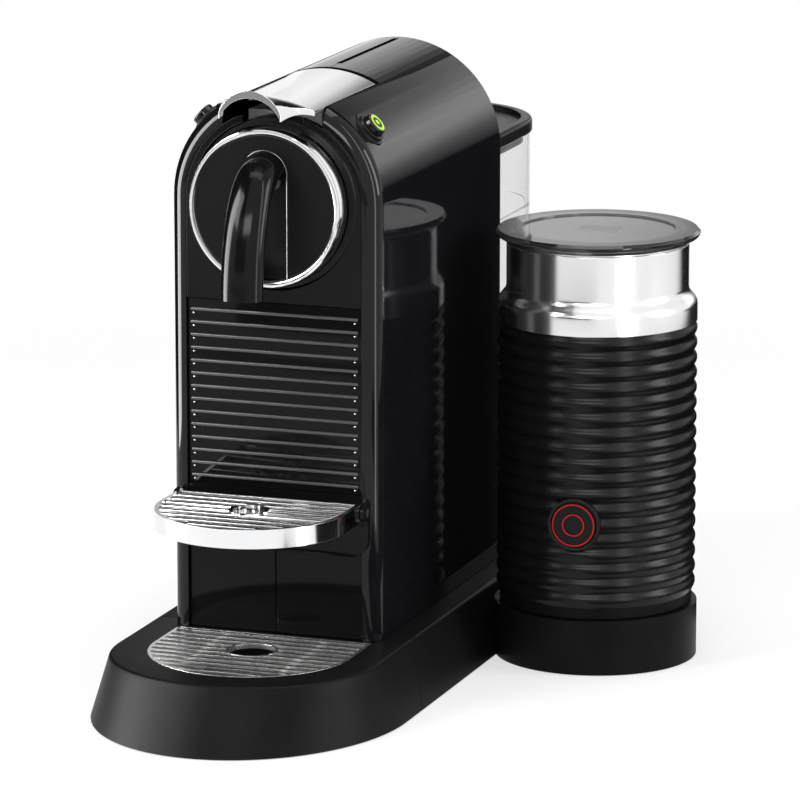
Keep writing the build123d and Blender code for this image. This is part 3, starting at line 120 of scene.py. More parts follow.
glossBlack = newLook("glossBlack", (0.006, 0.006, 0.007), 0.045, grain=18, tint=0.2, roughSpread=0.015,
                     specular=0.22)
satinBlack = newLook("satinBlack", (0.006, 0.006, 0.0065), 0.34, grain=35, roughSpread=0.04, bump=0.25,
                     bumpScale=1600, specular=0.2)
baseBlack = newLook("baseBlack", (0.005, 0.005, 0.0055), 0.4, grain=35, roughSpread=0.04, bump=0.25,
                    bumpScale=1600, specular=0.06)
softBlack = newLook("softBlack", (0.007, 0.007, 0.007), 0.5, grain=50, bump=0.3, bumpScale=1200, specular=0.15)
jacketBlack = newLook("jacketBlack", (0.005, 0.005, 0.0055), 0.27, grain=45, roughSpread=0.04, bump=0.15,
                      bumpScale=1500, specular=0.17)
panelBlack = newLook("panelBlack", (0.005, 0.005, 0.0055), 0.07, grain=18, tint=0.2, roughSpread=0.02,
                     specular=0.12)
spoutBlack = newLook("spoutBlack", (0.004, 0.004, 0.0045), 0.13, grain=30, roughSpread=0.02, specular=0.14)
innerBlack = newLook("innerBlack", (0.005, 0.005, 0.005), 0.5, grain=50, specular=0.1)
faceBlack = newLook("faceBlack", (0.006, 0.006, 0.0065), 0.33, grain=30, bump=0.2, bumpScale=2200,
                    specular=0.11)
rubberBlack = newLook("rubberBlack", (0.02, 0.02, 0.02), 0.7, grain=80, bump=0.4, bumpScale=900)
# a near-black look for painted shade, laid where a groove or gap is
grooveShadeBlack = newLook("grooveShadeBlack", (0.003, 0.003, 0.003), 0.6, grain=60)
chrome = newLook("chrome", (0.86, 0.86, 0.87), 0.045, metal=1.0, grain=25, tint=0.02, roughSpread=0.015)
chromeSoft = newLook("chromeSoft", (0.84, 0.84, 0.85), 0.11, metal=1.0, grain=25, tint=0.02, roughSpread=0.02)
collarChrome = newLook("collarChrome", (0.84, 0.84, 0.85), 0.19, metal=1.0, grain=25, tint=0.02,
                       roughSpread=0.02)
steel = newLook("steel", (0.62, 0.62, 0.61), 0.26, metal=1.0, grain=30, tint=0.05, stretch=(1, 8, 8),
                bump=0.15, bumpScale=700)
gridSteel = newLook("gridSteel", (0.9, 0.9, 0.89), 0.27, metal=1.0, grain=35, tint=0.04, stretch=(1, 9, 9),
                    roughSpread=0.04)
trimGrey = newLook("trimGrey", (0.3, 0.3, 0.3), 0.25, metal=1.0, grain=40, tint=0.05)
# the bars are a lighter grey than the panel's black: painted highlight for the light their rounded tops catch
barPaintedHighlightGrey = newLook("barPaintedHighlightGrey", (0.05, 0.05, 0.052), 0.22, grain=40, tint=0.1, roughSpread=0.04, specular=0.6)
castMetal = newLook("castMetal", (0.5, 0.5, 0.51), 0.5, metal=1.0, grain=90, tint=0.1, bump=0.6, bumpScale=500)
pumpPaint = newLook("pumpPaint", (0.18, 0.18, 0.2), 0.35, metal=0.6, grain=60, bump=0.2)
clearPlastic = newLook("clearPlastic", (0.985, 0.985, 0.985), 0.03, grain=12, tint=0.01, roughSpread=0.015,
                       clear=1.0, ior=1.2, specular=0.3)
smokyPlastic = newLook("smokyPlastic", (0.2, 0.2, 0.205), 0.06, grain=20, tint=0.05, roughSpread=0.02,
                       clear=0.85, ior=1.45)
whitePlastic = newLook("whitePlastic", (0.42, 0.42, 0.41), 0.45, grain=40, tint=0.06, bump=0.2, bumpScale=1300)
midPlastic = newLook("midPlastic", (0.13, 0.13, 0.135), 0.4, grain=40, tint=0.1, bump=0.2, bumpScale=1300)
tubeWhite = newLook("tubeWhite", (0.5, 0.5, 0.48), 0.4, grain=60, tint=0.05)
boardGreen = newLook("boardGreen", (0.02, 0.12, 0.05), 0.4, grain=300, tint=0.35, bump=0.4, bumpScale=400)
limeRing = newLook("limeRing", (0.38, 0.64, 0.013), 0.35, grain=60, tint=0.06)
redRing = newLook("redRing", (0.42, 0.006, 0.012), 0.4, grain=60, tint=0.08, specular=0.15)

# the clear plastic darkens a little where it is looked at along its wall
tree = clearPlastic.node_tree
dim = tree.nodes.new("ShaderNodeVolumeAbsorption")
dim.inputs["Color"].default_value = (0.8, 0.8, 0.8, 1)
dim.inputs["Density"].default_value = 110
tree.links.new(dim.outputs["Volume"], tree.nodes["Material Output"].inputs["Volume"])

# the frother lid's flared rim is darker than its middle
smoky = dict(reach=0.06, rim=(0.07, 0.07, 0.072, 1), middle=(0.36, 0.36, 0.365, 1), rimStart=0.3, rimEnd=0.385)
tree = smokyPlastic.node_tree
place = tree.nodes.new("ShaderNodeTexCoord")
middle = tree.nodes.new("ShaderNodeMapping")
middle.inputs["Location"].default_value = (-dockX / smoky["reach"], -dockY / smoky["reach"], 0)
middle.inputs["Scale"].default_value = (1 / smoky["reach"], 1 / smoky["reach"], 0)
tree.links.new(place.outputs["Object"], middle.inputs["Vector"])
around = tree.nodes.new("ShaderNodeTexGradient")
around.gradient_type = "SPHERICAL"
tree.links.new(middle.outputs["Vector"], around.inputs["Vector"])
tone = tree.nodes.new("ShaderNodeValToRGB")
tone.color_ramp.elements[0].position = smoky["rimStart"]
tone.color_ramp.elements[0].color = smoky["rim"]
tone.color_ramp.elements[1].position = smoky["rimEnd"]
tone.color_ramp.elements[1].color = smoky["middle"]
tree.links.new(around.outputs["Fac"], tone.inputs["Fac"])
tree.links.new(tone.outputs["Color"], tree.nodes["Principled BSDF"].inputs["Base Color"])

lookOf = {
    glossBlack: ["housing_left", "housing_right", "coffee_spout", "espresso_button", "lungo_button"],
    baseBlack: ["base_shell", "drip_base", "frother_base"],
    satinBlack: ["rear_cover", "head_drum", "button_sockets", "drip_tray", "capsule_container", "base_plate",
                 "frother_bezel"],
    innerBlack: ["brew_frame", "lever_arms"],
    panelBlack: ["front_panel", "splash_wall", "ribbed_panel", "support_carrier"],
    faceBlack: ["head_face", "tank_lid"],
    chromeSoft: ["chrome_ring", "support_band"],
    collarChrome: ["frother_collar"],
    chrome: ["lever_plate", "support_grid"],
    gridSteel: ["drip_grid"],
    jacketBlack: ["frother_jacket"],
    clearPlastic: ["water_tank"],
    smokyPlastic: ["frother_lid"],
    steel: ["frother_jug", "lever_axle", "base_screws", "support_pins", "support_tray", "whisk"],
    whitePlastic: ["capsule_chute", "tank_valve", "dock_connector"],
    midPlastic: ["capsule_cage", "outlet_nozzle", "tank_seat", "flow_meter", "whisk_holder"],
    castMetal: ["heater_block", "brew_plate"],
    pumpPaint: ["water_pump", "frother_motor"],
    rubberBlack: ["rubber_feet", "power_gland", "pump_mounts", "frother_lid_seal"],
    tubeWhite: ["feed_tube", "pump_tube", "heater_tube", "brew_tube"],
    boardGreen: ["control_board"],
    softBlack: ["frother_button"],
}
for look, names in lookOf.items():
    for name in names:
        nodes[name].data.materials.clear()
        nodes[name].data.materials.append(look)
print("finishes on", sum(len(names) for names in lookOf.values()), "of", len(nodes), "nodes")


# ways of making a piece


# Turns a bmesh into a finished piece that rides on a body.
def handOver(bm, name, body, look, replaced=(), sharp=32, weld=True):
    if weld:
        bmesh.ops.remove_doubles(bm, verts=bm.verts, dist=1e-6)
        bmesh.ops.recalc_face_normals(bm, faces=bm.faces)
    mesh = bpy.data.meshes.new(name)
    bm.to_mesh(mesh)
    bm.free()
    mesh.polygons.foreach_set("use_smooth", [True] * len(mesh.polygons))
    mesh.set_sharp_from_angle(angle=radians(sharp))
    piece = bpy.data.objects.new(name, mesh)
    bpy.context.scene.collection.objects.link(piece)
    mesh.materials.append(look)
    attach(piece, body)
    if replaced:
        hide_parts(*replaced)
    return piece


# Stands a welded, smoothly shaded copy with softened edges in for a CAD node. The edge width is in mm.
def dress(name, edge):
    bm = bmesh.new()
    bm.from_mesh(nodes[name].data)
    bmesh.ops.remove_doubles(bm, verts=bm.verts, dist=2e-6)
    bmesh.ops.dissolve_degenerate(bm, edges=bm.edges, dist=1e-6)
    bmesh.ops.dissolve_limit(bm, angle_limit=radians(0.25), verts=bm.verts, edges=bm.edges)
    piece = handOver(bm, name + ".dressed", nodes[name]["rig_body"], nodes[name].data.materials[0],
                     [name], sharp=30, weld=False)
    bevel = piece.modifiers.new("edges", "BEVEL")
    bevel.width = edge * mm
    bevel.segments = 2
    bevel.limit_method = "ANGLE"
    bevel.angle_limit = radians(32)
    bevel.harden_normals = True


# A shape turned round an upright centre line. Its points are radius and height in mm.
def lathe(points, steps):
    bm = bmesh.new()
    verts = [bm.verts.new((r * mm, 0, z * mm)) for r, z in points]
    edges = [bm.edges.new(pair) for pair in zip(verts, verts[1:] + verts[:1])]
    bmesh.ops.spin(bm, geom=verts + edges, cent=(0, 0, 0), axis=(0, 0, 1), angle=2 * pi, steps=steps,
                   use_merge=True)
    return bm


# The four corners of a flat ring's section, from its inner to its outer radius, in mm.
def ringSection(inner, outside, thick):
    return [(inner, 0), (outside, 0), (outside, thick), (inner, thick)]


# Turns and moves everything in the bmesh.
def moveTo(bm, place, turn=None):
    if turn is not None:
        bmesh.ops.transform(bm, matrix=turn, verts=bm.verts)
    bmesh.ops.translate(bm, vec=place, verts=bm.verts)


# the pieces that keep their CAD shape, with the width of their softened edges in mm
softEdges = dict(
    housing_left=1.4, housing_right=1.4, rear_cover=0.5, front_panel=0.3, head_drum=0.4,
    head_face=0.35, lever_plate=0.35, splash_wall=0.2, support_carrier=0.4,
    support_band=0.5, support_tray=0.3, support_grid=0.2, drip_base=0.6, base_shell=0.6, drip_grid=0.8,
    drip_tray=0.3, frother_base=0.6, frother_bezel=0.35, frother_button=0.15, water_tank=0.4, tank_lid=0.6,
    espresso_button=0.3, lungo_button=0.3, button_sockets=0.3, outlet_nozzle=0.2, frother_collar=0.3,
    capsule_container=0.4, capsule_chute=0.2, frother_jug=0.2,
)
for name, width in softEdges.items():
    dress(name, width)
print("dressed", len(softEdges), "pieces of the frame")

# the chrome ring, turned about the head's own centre line
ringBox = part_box("chrome_ring")
head = dict(
    centre=Vector((machineX, 0, (ringBox[0].z + ringBox[1].z) / 2)), radius=(ringBox[1].x - ringBox[0].x) / 2,
    front=ringBox[0].y, back=ringBox[1].y,
)
frontTurn = Matrix.Rotation(pi / 2, 4, "X")  # an upright turned shape, laid down to face the front
outer = head["radius"] / mm
ringDeep = (head["back"] - head["front"]) / mm
ringShape = [  # how far inside the outer radius, and how far behind the front
    (2.1, ringDeep), (0, ringDeep), (0, 10), (0.08, 8.4), (0.26, 6.8), (0.52, 5.2), (0.9, 3.6), (1.16, 2.7),
    (1.4, 2.0), (1.1, 1.7), (0.92, 1.25), (0.92, 0.8), (1.1, 0.38), (1.5, 0.09), (2.1, 0), (2.7, 0.11),
    (3.1, 0.4), (3.3, 0.8), (3.3, 1.15), (2.1, 1.15),
]
bm = lathe([(outer - inward, ringDeep - behind) for inward, behind in ringShape], steps=180)
moveTo(bm, Vector((head["centre"].x, head["back"], head["centre"].z)), frontTurn)
handOver(bm, "chrome_ring.turned", "machine", chromeSoft, ["chrome_ring"], sharp=24)

# the thin near-black ring round the face, painted shade standing for its groove, and the polished line round its
# slot
face = dict(
    front=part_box("head_face")[0].y, slotHalf=10.7 * mm, slotTop=outer * mm - 10.5 * mm, slotReach=2.3 * mm,
    lineRadius=0.2 * mm, lineProud=0.1 * mm, roundSteps=36, grooveOuter=3.6, grooveInner=3.9, grooveThick=0.12,
)
# a flat near-black ring laid on the face: painted shade where the groove would be
bm = lathe(ringSection(outer - face["grooveInner"], outer - face["grooveOuter"], face["grooveThick"]), steps=160)
moveTo(bm, Vector((head["centre"].x, face["front"], head["centre"].z)), frontTurn)
handOver(bm, "face_groove_shade", "machine", grooveShadeBlack)


# Draws an open row of edges out by the given way, and gives the new corners and edges.
def drawOut(bm, edges, way):
    grown = bmesh.ops.extrude_edge_only(bm, edges=edges)["geom"]
    verts = [g for g in grown if isinstance(g, bmesh.types.BMVert)]
    bmesh.ops.translate(bm, vec=way, verts=verts)
    far = [g for g in grown if isinstance(g, bmesh.types.BMEdge) and all(v in verts for v in g.verts)]
    return verts, far


# a thin rod that follows the slot's sides and its round top
bm = bmesh.new()
profile = bmesh.ops.create_circle(bm, segments=8, radius=face["lineRadius"])["verts"]
slotEnd = -sqrt((head["radius"] - face["slotReach"]) ** 2 - face["slotHalf"] ** 2)
slotRound = face["slotTop"] - face["slotHalf"]
bmesh.ops.translate(bm, vec=(face["slotHalf"], 0, slotEnd), verts=profile)
verts, far = drawOut(bm, bm.edges[:], (0, 0, slotRound - slotEnd))
turned = bmesh.ops.spin(bm, geom=verts + far, cent=(0, 0, slotRound), axis=(0, 1, 0), angle=-pi,
                        steps=face["roundSteps"])["geom_last"]
drawOut(bm, [g for g in turned if isinstance(g, bmesh.types.BMEdge)], (0, 0, slotEnd - slotRound))
bmesh.ops.holes_fill(bm, edges=bm.edges, sides=8)
moveTo(bm, Vector((head["centre"].x, face["front"] + face["lineProud"], head["centre"].z)))
handOver(bm, "slot_line", "machine", trimGrey, sharp=60)
print("head ring, face line and slot line")

# the coffee spout: oval sections along a quarter of an ellipse, with a hollow mouth
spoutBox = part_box("coffee_spout")
spout = dict(halfWidth=9.7 * mm, halfDepth=7.4 * mm, rings=22, sides=56, rim=2.6 * mm, boreDepth=12 * mm,
             sunk=1.2 * mm)
root = Vector((head["centre"].x, head["front"] + spout["sunk"], spoutBox[0].z))
spoutForward = root.y - spoutBox[0].y - spout["halfDepth"]
spoutRise = spoutBox[1].z - spoutBox[0].z - spout["halfDepth"]


# One oval section of the spout, tipped and put in place.
def spoutSection(bm, tip, place):
    loop = bmesh.ops.create_circle(bm, segments=spout["sides"], radius=1)["verts"]
    bmesh.ops.scale(bm, vec=(spout["halfWidth"], spout["halfDepth"], 1), verts=loop)
    bmesh.ops.rotate(bm, cent=(0, 0, 0), matrix=Matrix.Rotation(tip, 3, "X"), verts=loop)
    bmesh.ops.translate(bm, vec=place, verts=loop)


bm = bmesh.new()
for n in range(spout["rings"] + 1):
    t = pi / 2 + pi / 2 * n / spout["rings"]
    place = root + Vector((0, spoutForward * cos(t), spoutRise * sin(t)))
    tip = -atan2(spoutForward * sin(t), -spoutRise * cos(t))
    spoutSection(bm, tip, place)
    if n == 0:  # and one more at the back, inside the head
        spoutSection(bm, tip, place + Vector((0, spoutBox[1].y - root.y, 0)))
bmesh.ops.bridge_loops(bm, edges=bm.edges[:], use_pairs=False)
ends = bmesh.ops.holes_fill(bm, edges=[e for e in bm.edges if e.is_boundary], sides=0)["faces"]
mouth = min(ends, key=lambda f: f.calc_center_median().z)
bmesh.ops.inset_region(bm, faces=[mouth], thickness=spout["rim"])
hole = bmesh.ops.extrude_discrete_faces(bm, faces=[mouth])["faces"]
bmesh.ops.translate(bm, vec=(0, 0, spout["boreDepth"]), verts=hole[0].verts)
handOver(bm, "coffee_spout.swept", "machine", spoutBlack, ["coffee_spout"], sharp=40)
print("coffee spout")

# the ribbed panel: a plate with fourteen round-edged bars and a small bright pin at each end
panelLow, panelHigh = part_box("ribbed_panel")
panelSize = panelHigh - panelLow
panel = dict(
    count=14, endGap=3.6 * mm, topGap=5.0 * mm, barHeight=1.5 * mm, barRound=0.62 * mm, barRoot=0.4 * mm,
    margin=1.6 * mm, reach=1.0 * mm, plateRound=0.3 * mm,
    pin=0.6 * mm, pinInset=1.5 * mm, pinSunk=0.75 * mm, pinDrop=0.3,
)


# Adds a plain block to the bmesh.
def addBlock(bm, size, middle):
    block = bmesh.ops.create_cube(bm, size=1)["verts"]
    bmesh.ops.scale(bm, vec=size, verts=block)
    bmesh.ops.translate(bm, vec=middle, verts=block)


# Rounds every edge in the bmesh.
def roundAll(bm, width, segments):
    bmesh.ops.bevel(bm, geom=bm.edges[:], offset=width, affect="EDGES", segments=segments, profile=0.5,
                    material=-1)


plateDeep = panelSize.y - panel["reach"]
bm = bmesh.new()
addBlock(bm, (panelSize.x, plateDeep, panelSize.z),
         (panelLow.x + panelSize.x / 2, panelHigh.y - plateDeep / 2, panelLow.z + panelSize.z / 2))
roundAll(bm, panel["plateRound"], segments=2)
handOver(bm, "panel_plate", "drip_unit", panelBlack, ["ribbed_panel"])
bars, pins = bmesh.new(), bmesh.new()
pitch = (panelSize.z - panel["topGap"] - panel["endGap"]) / (panel["count"] - 1)
barHalf = panelSize.x / 2 - panel["margin"]
barDeep = panel["reach"] + panel["barRoot"]
for n in range(panel["count"]):
    level = panelLow.z + panel["endGap"] + n * pitch
    addBlock(bars, (2 * barHalf, barDeep, panel["barHeight"]), (machineX, panelLow.y + barDeep / 2, level))
    for side in (-1, 1):
        dot = bmesh.ops.create_uvsphere(pins, u_segments=10, v_segments=6, radius=panel["pin"])["verts"]
        spot = (machineX + side * (barHalf - panel["pinInset"]), panelLow.y + panel["pinSunk"],
                level - pitch * panel["pinDrop"])
        bmesh.ops.translate(pins, vec=spot, verts=dot)
roundAll(bars, panel["barRound"], segments=4)
# the bars' lighter grey is a painted highlight
handOver(bars, "panel_bars", "drip_unit", barPaintedHighlightGrey, sharp=70)
handOver(pins, "panel_pins", "drip_unit", trimGrey)
print("ribbed panel:", panel["count"], "bars")

# the frother's jacket, turned with eighteen rounded ribs; sizes in mm
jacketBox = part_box("frother_jacket")
jacket = dict(
    radius=(jacketBox[1].x - jacketBox[0].x) / 2 / mm, low=jacketBox[0].z / mm, high=jacketBox[1].z / mm,
    ribs=18, depth=1.25, hollow=2.6, wall=2.4, steps=10,
)
ribRise = (jacket["high"] - jacket["low"]) / jacket["ribs"]
outside = []
for n in range(jacket["ribs"] * jacket["steps"] + 1):
    t = n / jacket["steps"]
    dip = abs(cos(pi * t)) ** jacket["hollow"]
    outside.append((jacket["radius"] - jacket["depth"] * dip, jacket["low"] + t * ribRise))
inner = jacket["radius"] - jacket["wall"]
bm = lathe(outside + [(inner, jacket["high"]), (inner, jacket["low"])], steps=144)
moveTo(bm, Vector((dockX, dockY, 0)))
handOver(bm, "frother_jacket.turned", "frother", jacketBlack, ["frother_jacket"], sharp=50)

# red rings on the frother's button; sizes in mm
redRings = dict(radii=(9.6, 4.9), width=0.6, thick=0.25, sunk=0.1, turn=5)
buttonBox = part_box("frother_button")
buttonOut = Vector((sin(radians(redRings["turn"])), -cos(radians(redRings["turn"])), 0))
buttonFace = (Vector((dockX, dockY, (buttonBox[0].z + buttonBox[1].z) / 2))
              + buttonOut * (dockY - buttonBox[0].y - redRings["sunk"] * mm))
bm = bmesh.new()
for radius in redRings["radii"]:
    half = redRings["width"] / 2
    one = lathe(ringSection(radius - half, radius + half, redRings["thick"]), steps=96)
    mesh = bpy.data.meshes.new("ring")
    one.to_mesh(mesh)
    one.free()
    bm.from_mesh(mesh)
    bpy.data.meshes.remove(mesh)
moveTo(bm, buttonFace, Matrix.Rotation(radians(redRings["turn"]), 4, "Z") @ frontTurn)
handOver(bm, "red_rings", "frother_button", redRing)
print("frother jacket and button rings")

# the lime ring and the small cup on each coffee button; sizes in mm
limeRings = dict(outer=4.3, inner=2.9, thick=0.15, sunk=0.06, lean=50)
smallCup = dict(foot=1.0, top=1.35, thick=0.16, left=0.2, sides=12)
for name, side in (("espresso_button", -1), ("lungo_button", 1)):
    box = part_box(name)
    lean = radians(limeRings["lean"]) * side
    out = Vector((sin(lean), 0, cos(lean)))
    archCentre = Vector((machineX, (box[0].y + box[1].y) / 2, archLevel))
    reach = max((corner.co - archCentre).dot(out) for corner in nodes[name].data.vertices)
    bm = lathe(ringSection(limeRings["inner"], limeRings["outer"], limeRings["thick"]), steps=64)
    cup = bmesh.ops.create_cone(bm, cap_ends=True, segments=smallCup["sides"], radius1=smallCup["foot"] * mm,
                                radius2=smallCup["top"] * mm, depth=smallCup["thick"] * mm)
    bmesh.ops.translate(bm, vec=(-smallCup["left"] * mm, 0, smallCup["thick"] / 2 * mm), verts=cup["verts"])
    moveTo(bm, archCentre + out * (reach - limeRings["sunk"] * mm), Matrix.Rotation(lean, 4, "Y"))
    handOver(bm, name + ".ring", name, limeRing)
print("button rings")

# floor, lights and camera
studio = dict(
    floorSize=8, floorColour=0.86, floorSpread=0.02, paperGrain=3, shadowReach=0.9, shadowStart=0.6,
    shadowDepth=0.45, worldLight=0.5, keyEnergy=12, fillEnergy=9, frontEnergy=9, topEnergy=8,
    leftGlow=20.0, rightGlow=7.0, backGlow=1.0, shoulderGlow=2.4, darkGlow=0.004, frontGlow=0.1, farGlow=0.3,
)


# A flat studio card that only shows in reflections.
def card(name, corner, right, up, look):
    bm = bmesh.new()
    a, b, c = Vector(corner), Vector(right), Vector(up)
    bm.faces.new([bm.verts.new(p) for p in (a, a + b, a + b + c, a + c)])
    mesh = bpy.data.meshes.new(name)
    bm.to_mesh(mesh)
    bm.free()
    board = bpy.data.objects.new(name, mesh)
    bpy.context.scene.collection.objects.link(board)
    mesh.materials.append(look)
    board.visible_camera = False
    board.visible_diffuse = False
    board.visible_shadow = False
    board.visible_transmission = False


# A plain glowing look for the cards.
def glow(name, strength):
    look = bpy.data.materials.new(name)
    look.use_nodes = True
    tree = look.node_tree
    tree.nodes.clear()
    light = tree.nodes.new("ShaderNodeEmission")
    light.inputs["Color"].default_value = (1, 1, 1, 1)
    light.inputs["Strength"].default_value = strength
    out = tree.nodes.new("ShaderNodeOutputMaterial")
    tree.links.new(light.outputs["Emission"], out.inputs["Surface"])
    return look


# A glowing look whose tone changes along one line. Stops are a place along it and a tone from 0 to 1.
def gradedGlow(name, strength, start, turn, scale, stops, lastTone):
    look = glow(name, strength)
    tree = look.node_tree
    place = tree.nodes.new("ShaderNodeTexCoord")
    along = tree.nodes.new("ShaderNodeMapping")
    along.inputs["Location"].default_value = start
    along.inputs["Rotation"].default_value = turn
    along.inputs["Scale"].default_value = scale
    tree.links.new(place.outputs["Object"], along.inputs["Vector"])
    slope = tree.nodes.new("ShaderNodeTexGradient")
    tree.links.new(along.outputs["Vector"], slope.inputs["Vector"])
    tones = tree.nodes.new("ShaderNodeValToRGB")
    for n, (spot, tone) in enumerate(stops):
        stop = tones.color_ramp.elements[0] if n == 0 else tones.color_ramp.elements.new(spot)
        stop.position = spot
        stop.color = (tone, tone, tone, 1)
    tones.color_ramp.elements[-1].color = (lastTone, lastTone, lastTone, 1)
    tree.links.new(slope.outputs["Fac"], tones.inputs["Fac"])
    tree.links.new(tones.outputs["Color"], tree.nodes["Emission"].inputs["Color"])
    return look


# The larger of two values in a node tree.
def largerOf(tree, first, second):
    larger = tree.nodes.new("ShaderNodeMath")
    larger.operation = "MAXIMUM"
    tree.links.new(first, larger.inputs[0])
    tree.links.new(second, larger.inputs[1])
    return larger.outputs[0]


# One for what the camera sees straight, in a reflection or through a clear piece, and nought for light.
def seenRays(tree):
    rays = tree.nodes.new("ShaderNodeLightPath")
    straight = largerOf(tree, rays.outputs["Is Camera Ray"], rays.outputs["Is Glossy Ray"])
    return largerOf(tree, straight, rays.outputs["Is Transmission Ray"])


bpy.ops.mesh.primitive_plane_add(size=studio["floorSize"])
floor = bpy.context.object
floor.name = "floor"
floorLook = bpy.data.materials.new("floorPaper")
floorLook.use_nodes = True
tree = floorLook.node_tree
shader = tree.nodes["Principled BSDF"]
place = tree.nodes.new("ShaderNodeTexCoord")
paper = tree.nodes.new("ShaderNodeTexNoise")
paper.inputs["Scale"].default_value = studio["paperGrain"]
tree.links.new(place.outputs["Object"], paper.inputs["Vector"])
ramp = tree.nodes.new("ShaderNodeValToRGB")
ramp.color_ramp.elements[0].color = (studio["floorColour"],) * 3 + (1,)
ramp.color_ramp.elements[1].color = (studio["floorColour"] + studio["floorSpread"],) * 3 + (1,)
tree.links.new(paper.outputs["Fac"], ramp.inputs["Fac"])
tree.links.new(ramp.outputs["Color"], shader.inputs["Base Color"])
shader.inputs["Roughness"].default_value = 0.9
shader.inputs["Specular IOR Level"].default_value = 0.1
plain = tree.nodes.new("ShaderNodeEmission")  # far from the object the floor is seen as plain white
away = tree.nodes.new("ShaderNodeTexGradient")
away.gradient_type = "SPHERICAL"
reach = tree.nodes.new("ShaderNodeMapping")
reach.inputs["Scale"].default_value = [1 / studio["shadowReach"]] * 3
tree.links.new(place.outputs["Object"], reach.inputs["Vector"])
tree.links.new(reach.outputs["Vector"], away.inputs["Vector"])
keep = tree.nodes.new("ShaderNodeMapRange")
keep.inputs["From Max"].default_value = studio["shadowStart"]
keep.inputs["To Min"].default_value = 1.0
keep.inputs["To Max"].default_value = 1 - studio["shadowDepth"]
tree.links.new(away.outputs["Fac"], keep.inputs["Value"])
share = tree.nodes.new("ShaderNodeMath")
share.operation = "MULTIPLY"
tree.links.new(keep.outputs["Result"], share.inputs[0])
tree.links.new(seenRays(tree), share.inputs[1])
mix = tree.nodes.new("ShaderNodeMixShader")
tree.links.new(share.outputs[0], mix.inputs["Fac"])
tree.links.new(shader.outputs[0], mix.inputs[1])
tree.links.new(plain.outputs[0], mix.inputs[2])
tree.links.new(mix.outputs[0], tree.nodes["Material Output"].inputs["Surface"])
floor.data.materials.append(floorLook)

world = bpy.data.worlds.new("studio")
bpy.context.scene.world = world
world.use_nodes = True
tree = world.node_tree
tree.nodes.clear()
mix = tree.nodes.new("ShaderNodeMixShader")
tree.links.new(seenRays(tree), mix.inputs["Fac"])
for n, strength in enumerate((studio["worldLight"], 1)):  # the light that it gives, and the white that is seen
    sky = tree.nodes.new("ShaderNodeBackground")
    sky.inputs["Color"].default_value = (1, 1, 1, 1)
    sky.inputs["Strength"].default_value = strength
    tree.links.new(sky.outputs[0], mix.inputs[n + 1])
out = tree.nodes.new("ShaderNodeOutputWorld")
tree.links.new(mix.outputs[0], out.inputs["Surface"])


# A soft oblong lamp that looks at a place above the floor's middle.
def softLight(name, place, height, size, energy):
    lamp = bpy.data.lights.new(name, "AREA")
    lamp.shape = "RECTANGLE"
    lamp.size, lamp.size_y = size
    lamp.energy = energy
    stand = bpy.data.objects.new(name, lamp)
    bpy.context.scene.collection.objects.link(stand)
    stand.location = place
    stand.rotation_euler = (Vector((0, 0, height)) - Vector(place)).to_track_quat("-Z", "Y").to_euler()
    stand.visible_camera = False


softLight("key", (-0.9, -1.0, 1.1), 0.12, (0.5, 0.7), studio["keyEnergy"])
softLight("fill", (1.3, 0.2, 0.6), 0.12, (0.4, 0.9), studio["fillEnergy"])
softLight("front", (0.25, -1.5, 1.0), 0.12, (0.9, 0.35), studio["frontEnergy"])
softLight("top", (0.0, 0.1, 1.3), 0.1, (0.9, 0.9), studio["topEnergy"])

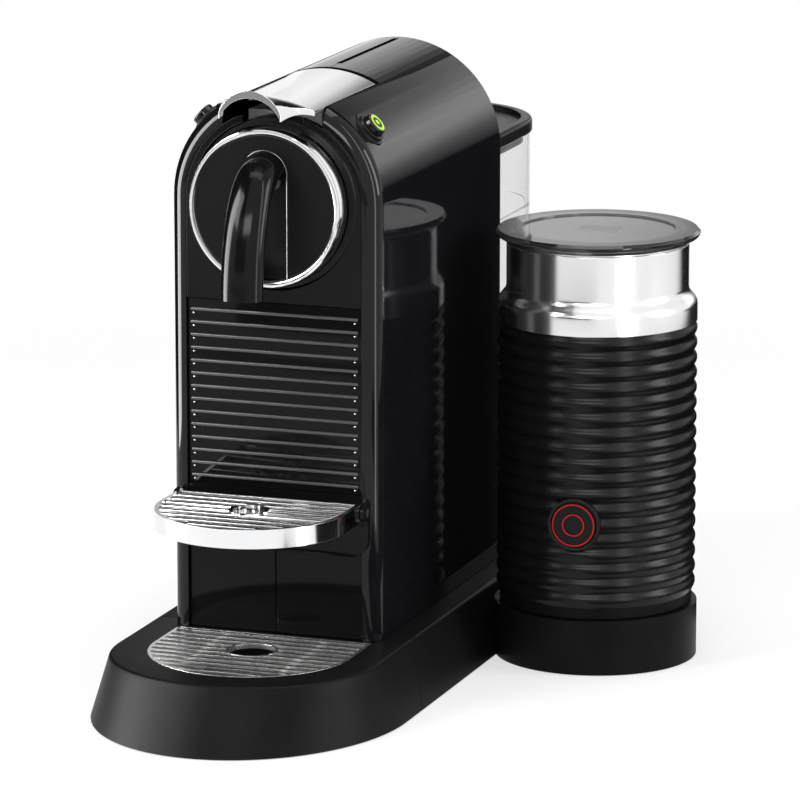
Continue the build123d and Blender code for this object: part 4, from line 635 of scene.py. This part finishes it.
# dark boards, grey backdrops and bright strips that only show as reflections: corner, way right and way up
darkBoards = dict(
    boardBehindLeft=((-1.6, 0.9, 0.0), (1.3, 0, 0), (0, 0, 0.2)),
    boardFloorSide=((0.02, 0.12, 0.002), (0.64, 0, 0), (0, 0.83, 0)),
    boardFloorNear=((0.2, -0.06, 0.0025), (0.46, 0, 0), (0, 0.2, 0)),
    boardBehindRight=((0.02, 0.95, 0.0), (1.0, 0, 0), (0, 0, 0.17)),
    boardLeft=((-0.6, -0.2, 0.0), (0, 0.9, 0), (0, 0, 0.9)),
    boardAbove=((-1.4, -2.2, 1.6), (1.1, 0, 0), (0, 3.0, 0)),
    boardFloorDock=((0.09, -0.31, 0.003), (0.19, 0, 0), (0, 0.3, 0)),
    boardFloorRight=((0.4, -0.5, 0.003), (0.18, 0, 0), (0, 0.36, 0)),
)
darkBoard = glow("darkBoard", studio["darkGlow"])
for name, (corner, right, up) in darkBoards.items():
    card(name, corner, right, up, darkBoard)
acrossStops = ((0.0, 0.03), (0.4, 0.06), (0.54, 0.85), (0.66, 1.0), (0.78, 0.8), (0.88, 0.3), (0.97, 0.05))
upwardStops = ((0.0, 0.03), (0.1, 0.25), (0.2, 0.7), (0.27, 0.75), (0.4, 0.3), (0.55, 0.06), (0.7, 0.01))
backTone = gradedGlow("backTone", studio["backGlow"], (1.0, 0, 0), (0, 0, 0), (1, 0, 0), acrossStops, 0.02)
shoulderTone = gradedGlow("shoulderTone", studio["shoulderGlow"], (-0.17, 0, 0), (0, radians(90), 0), (1, 1, 1),
                          upwardStops, 0.004)
card("backdropTop", (-1.0, 0.98, 0.3), (0.98, 0, 0), (0, 0, 1.3), backTone)
card("shoulderBoard", (-0.03, 0.9, 0.17), (0.6, 0, 0), (0, 0, 1.65), shoulderTone)
card("boardFront", (-1.7, -2.9, 0.3), (2.3, 0, 0), (0, 0, 1.1), glow("frontGrey", studio["frontGlow"]))
card("floorFar", (-1.6, -2.6, 0.002), (2.2, 0, 0), (0, 1.2, 0), glow("floorGrey", studio["farGlow"]))
card("stripRight", (0.33, -0.22, 0.0), (0, 0.07, 0), (0.2, -0.06, 1.1),
     glow("stripRightLight", studio["rightGlow"]))
card("stripLeft", (-0.59, -0.34, 0.0), (0, 0.27, 0), (0, -0.24, 0.8), glow("stripLeftLight", studio["leftGlow"]))

view = dict(place=(0.86063, -2.46738, 0.69792), tilt=77.6367, turn=19.4376, lens=262.6907, sensor=36, near=0.05)
eye = bpy.data.cameras.new("camera")
eye.lens = view["lens"]
eye.sensor_width = view["sensor"]
eye.clip_start = view["near"]
camera = bpy.data.objects.new("camera", eye)
bpy.context.scene.collection.objects.link(camera)
camera.location = view["place"]
camera.rotation_euler = (radians(view["tilt"]), 0, radians(view["turn"]))
bpy.context.scene.camera = camera
bpy.context.scene.view_settings.view_transform = "Standard"
print("floor, lights and camera")
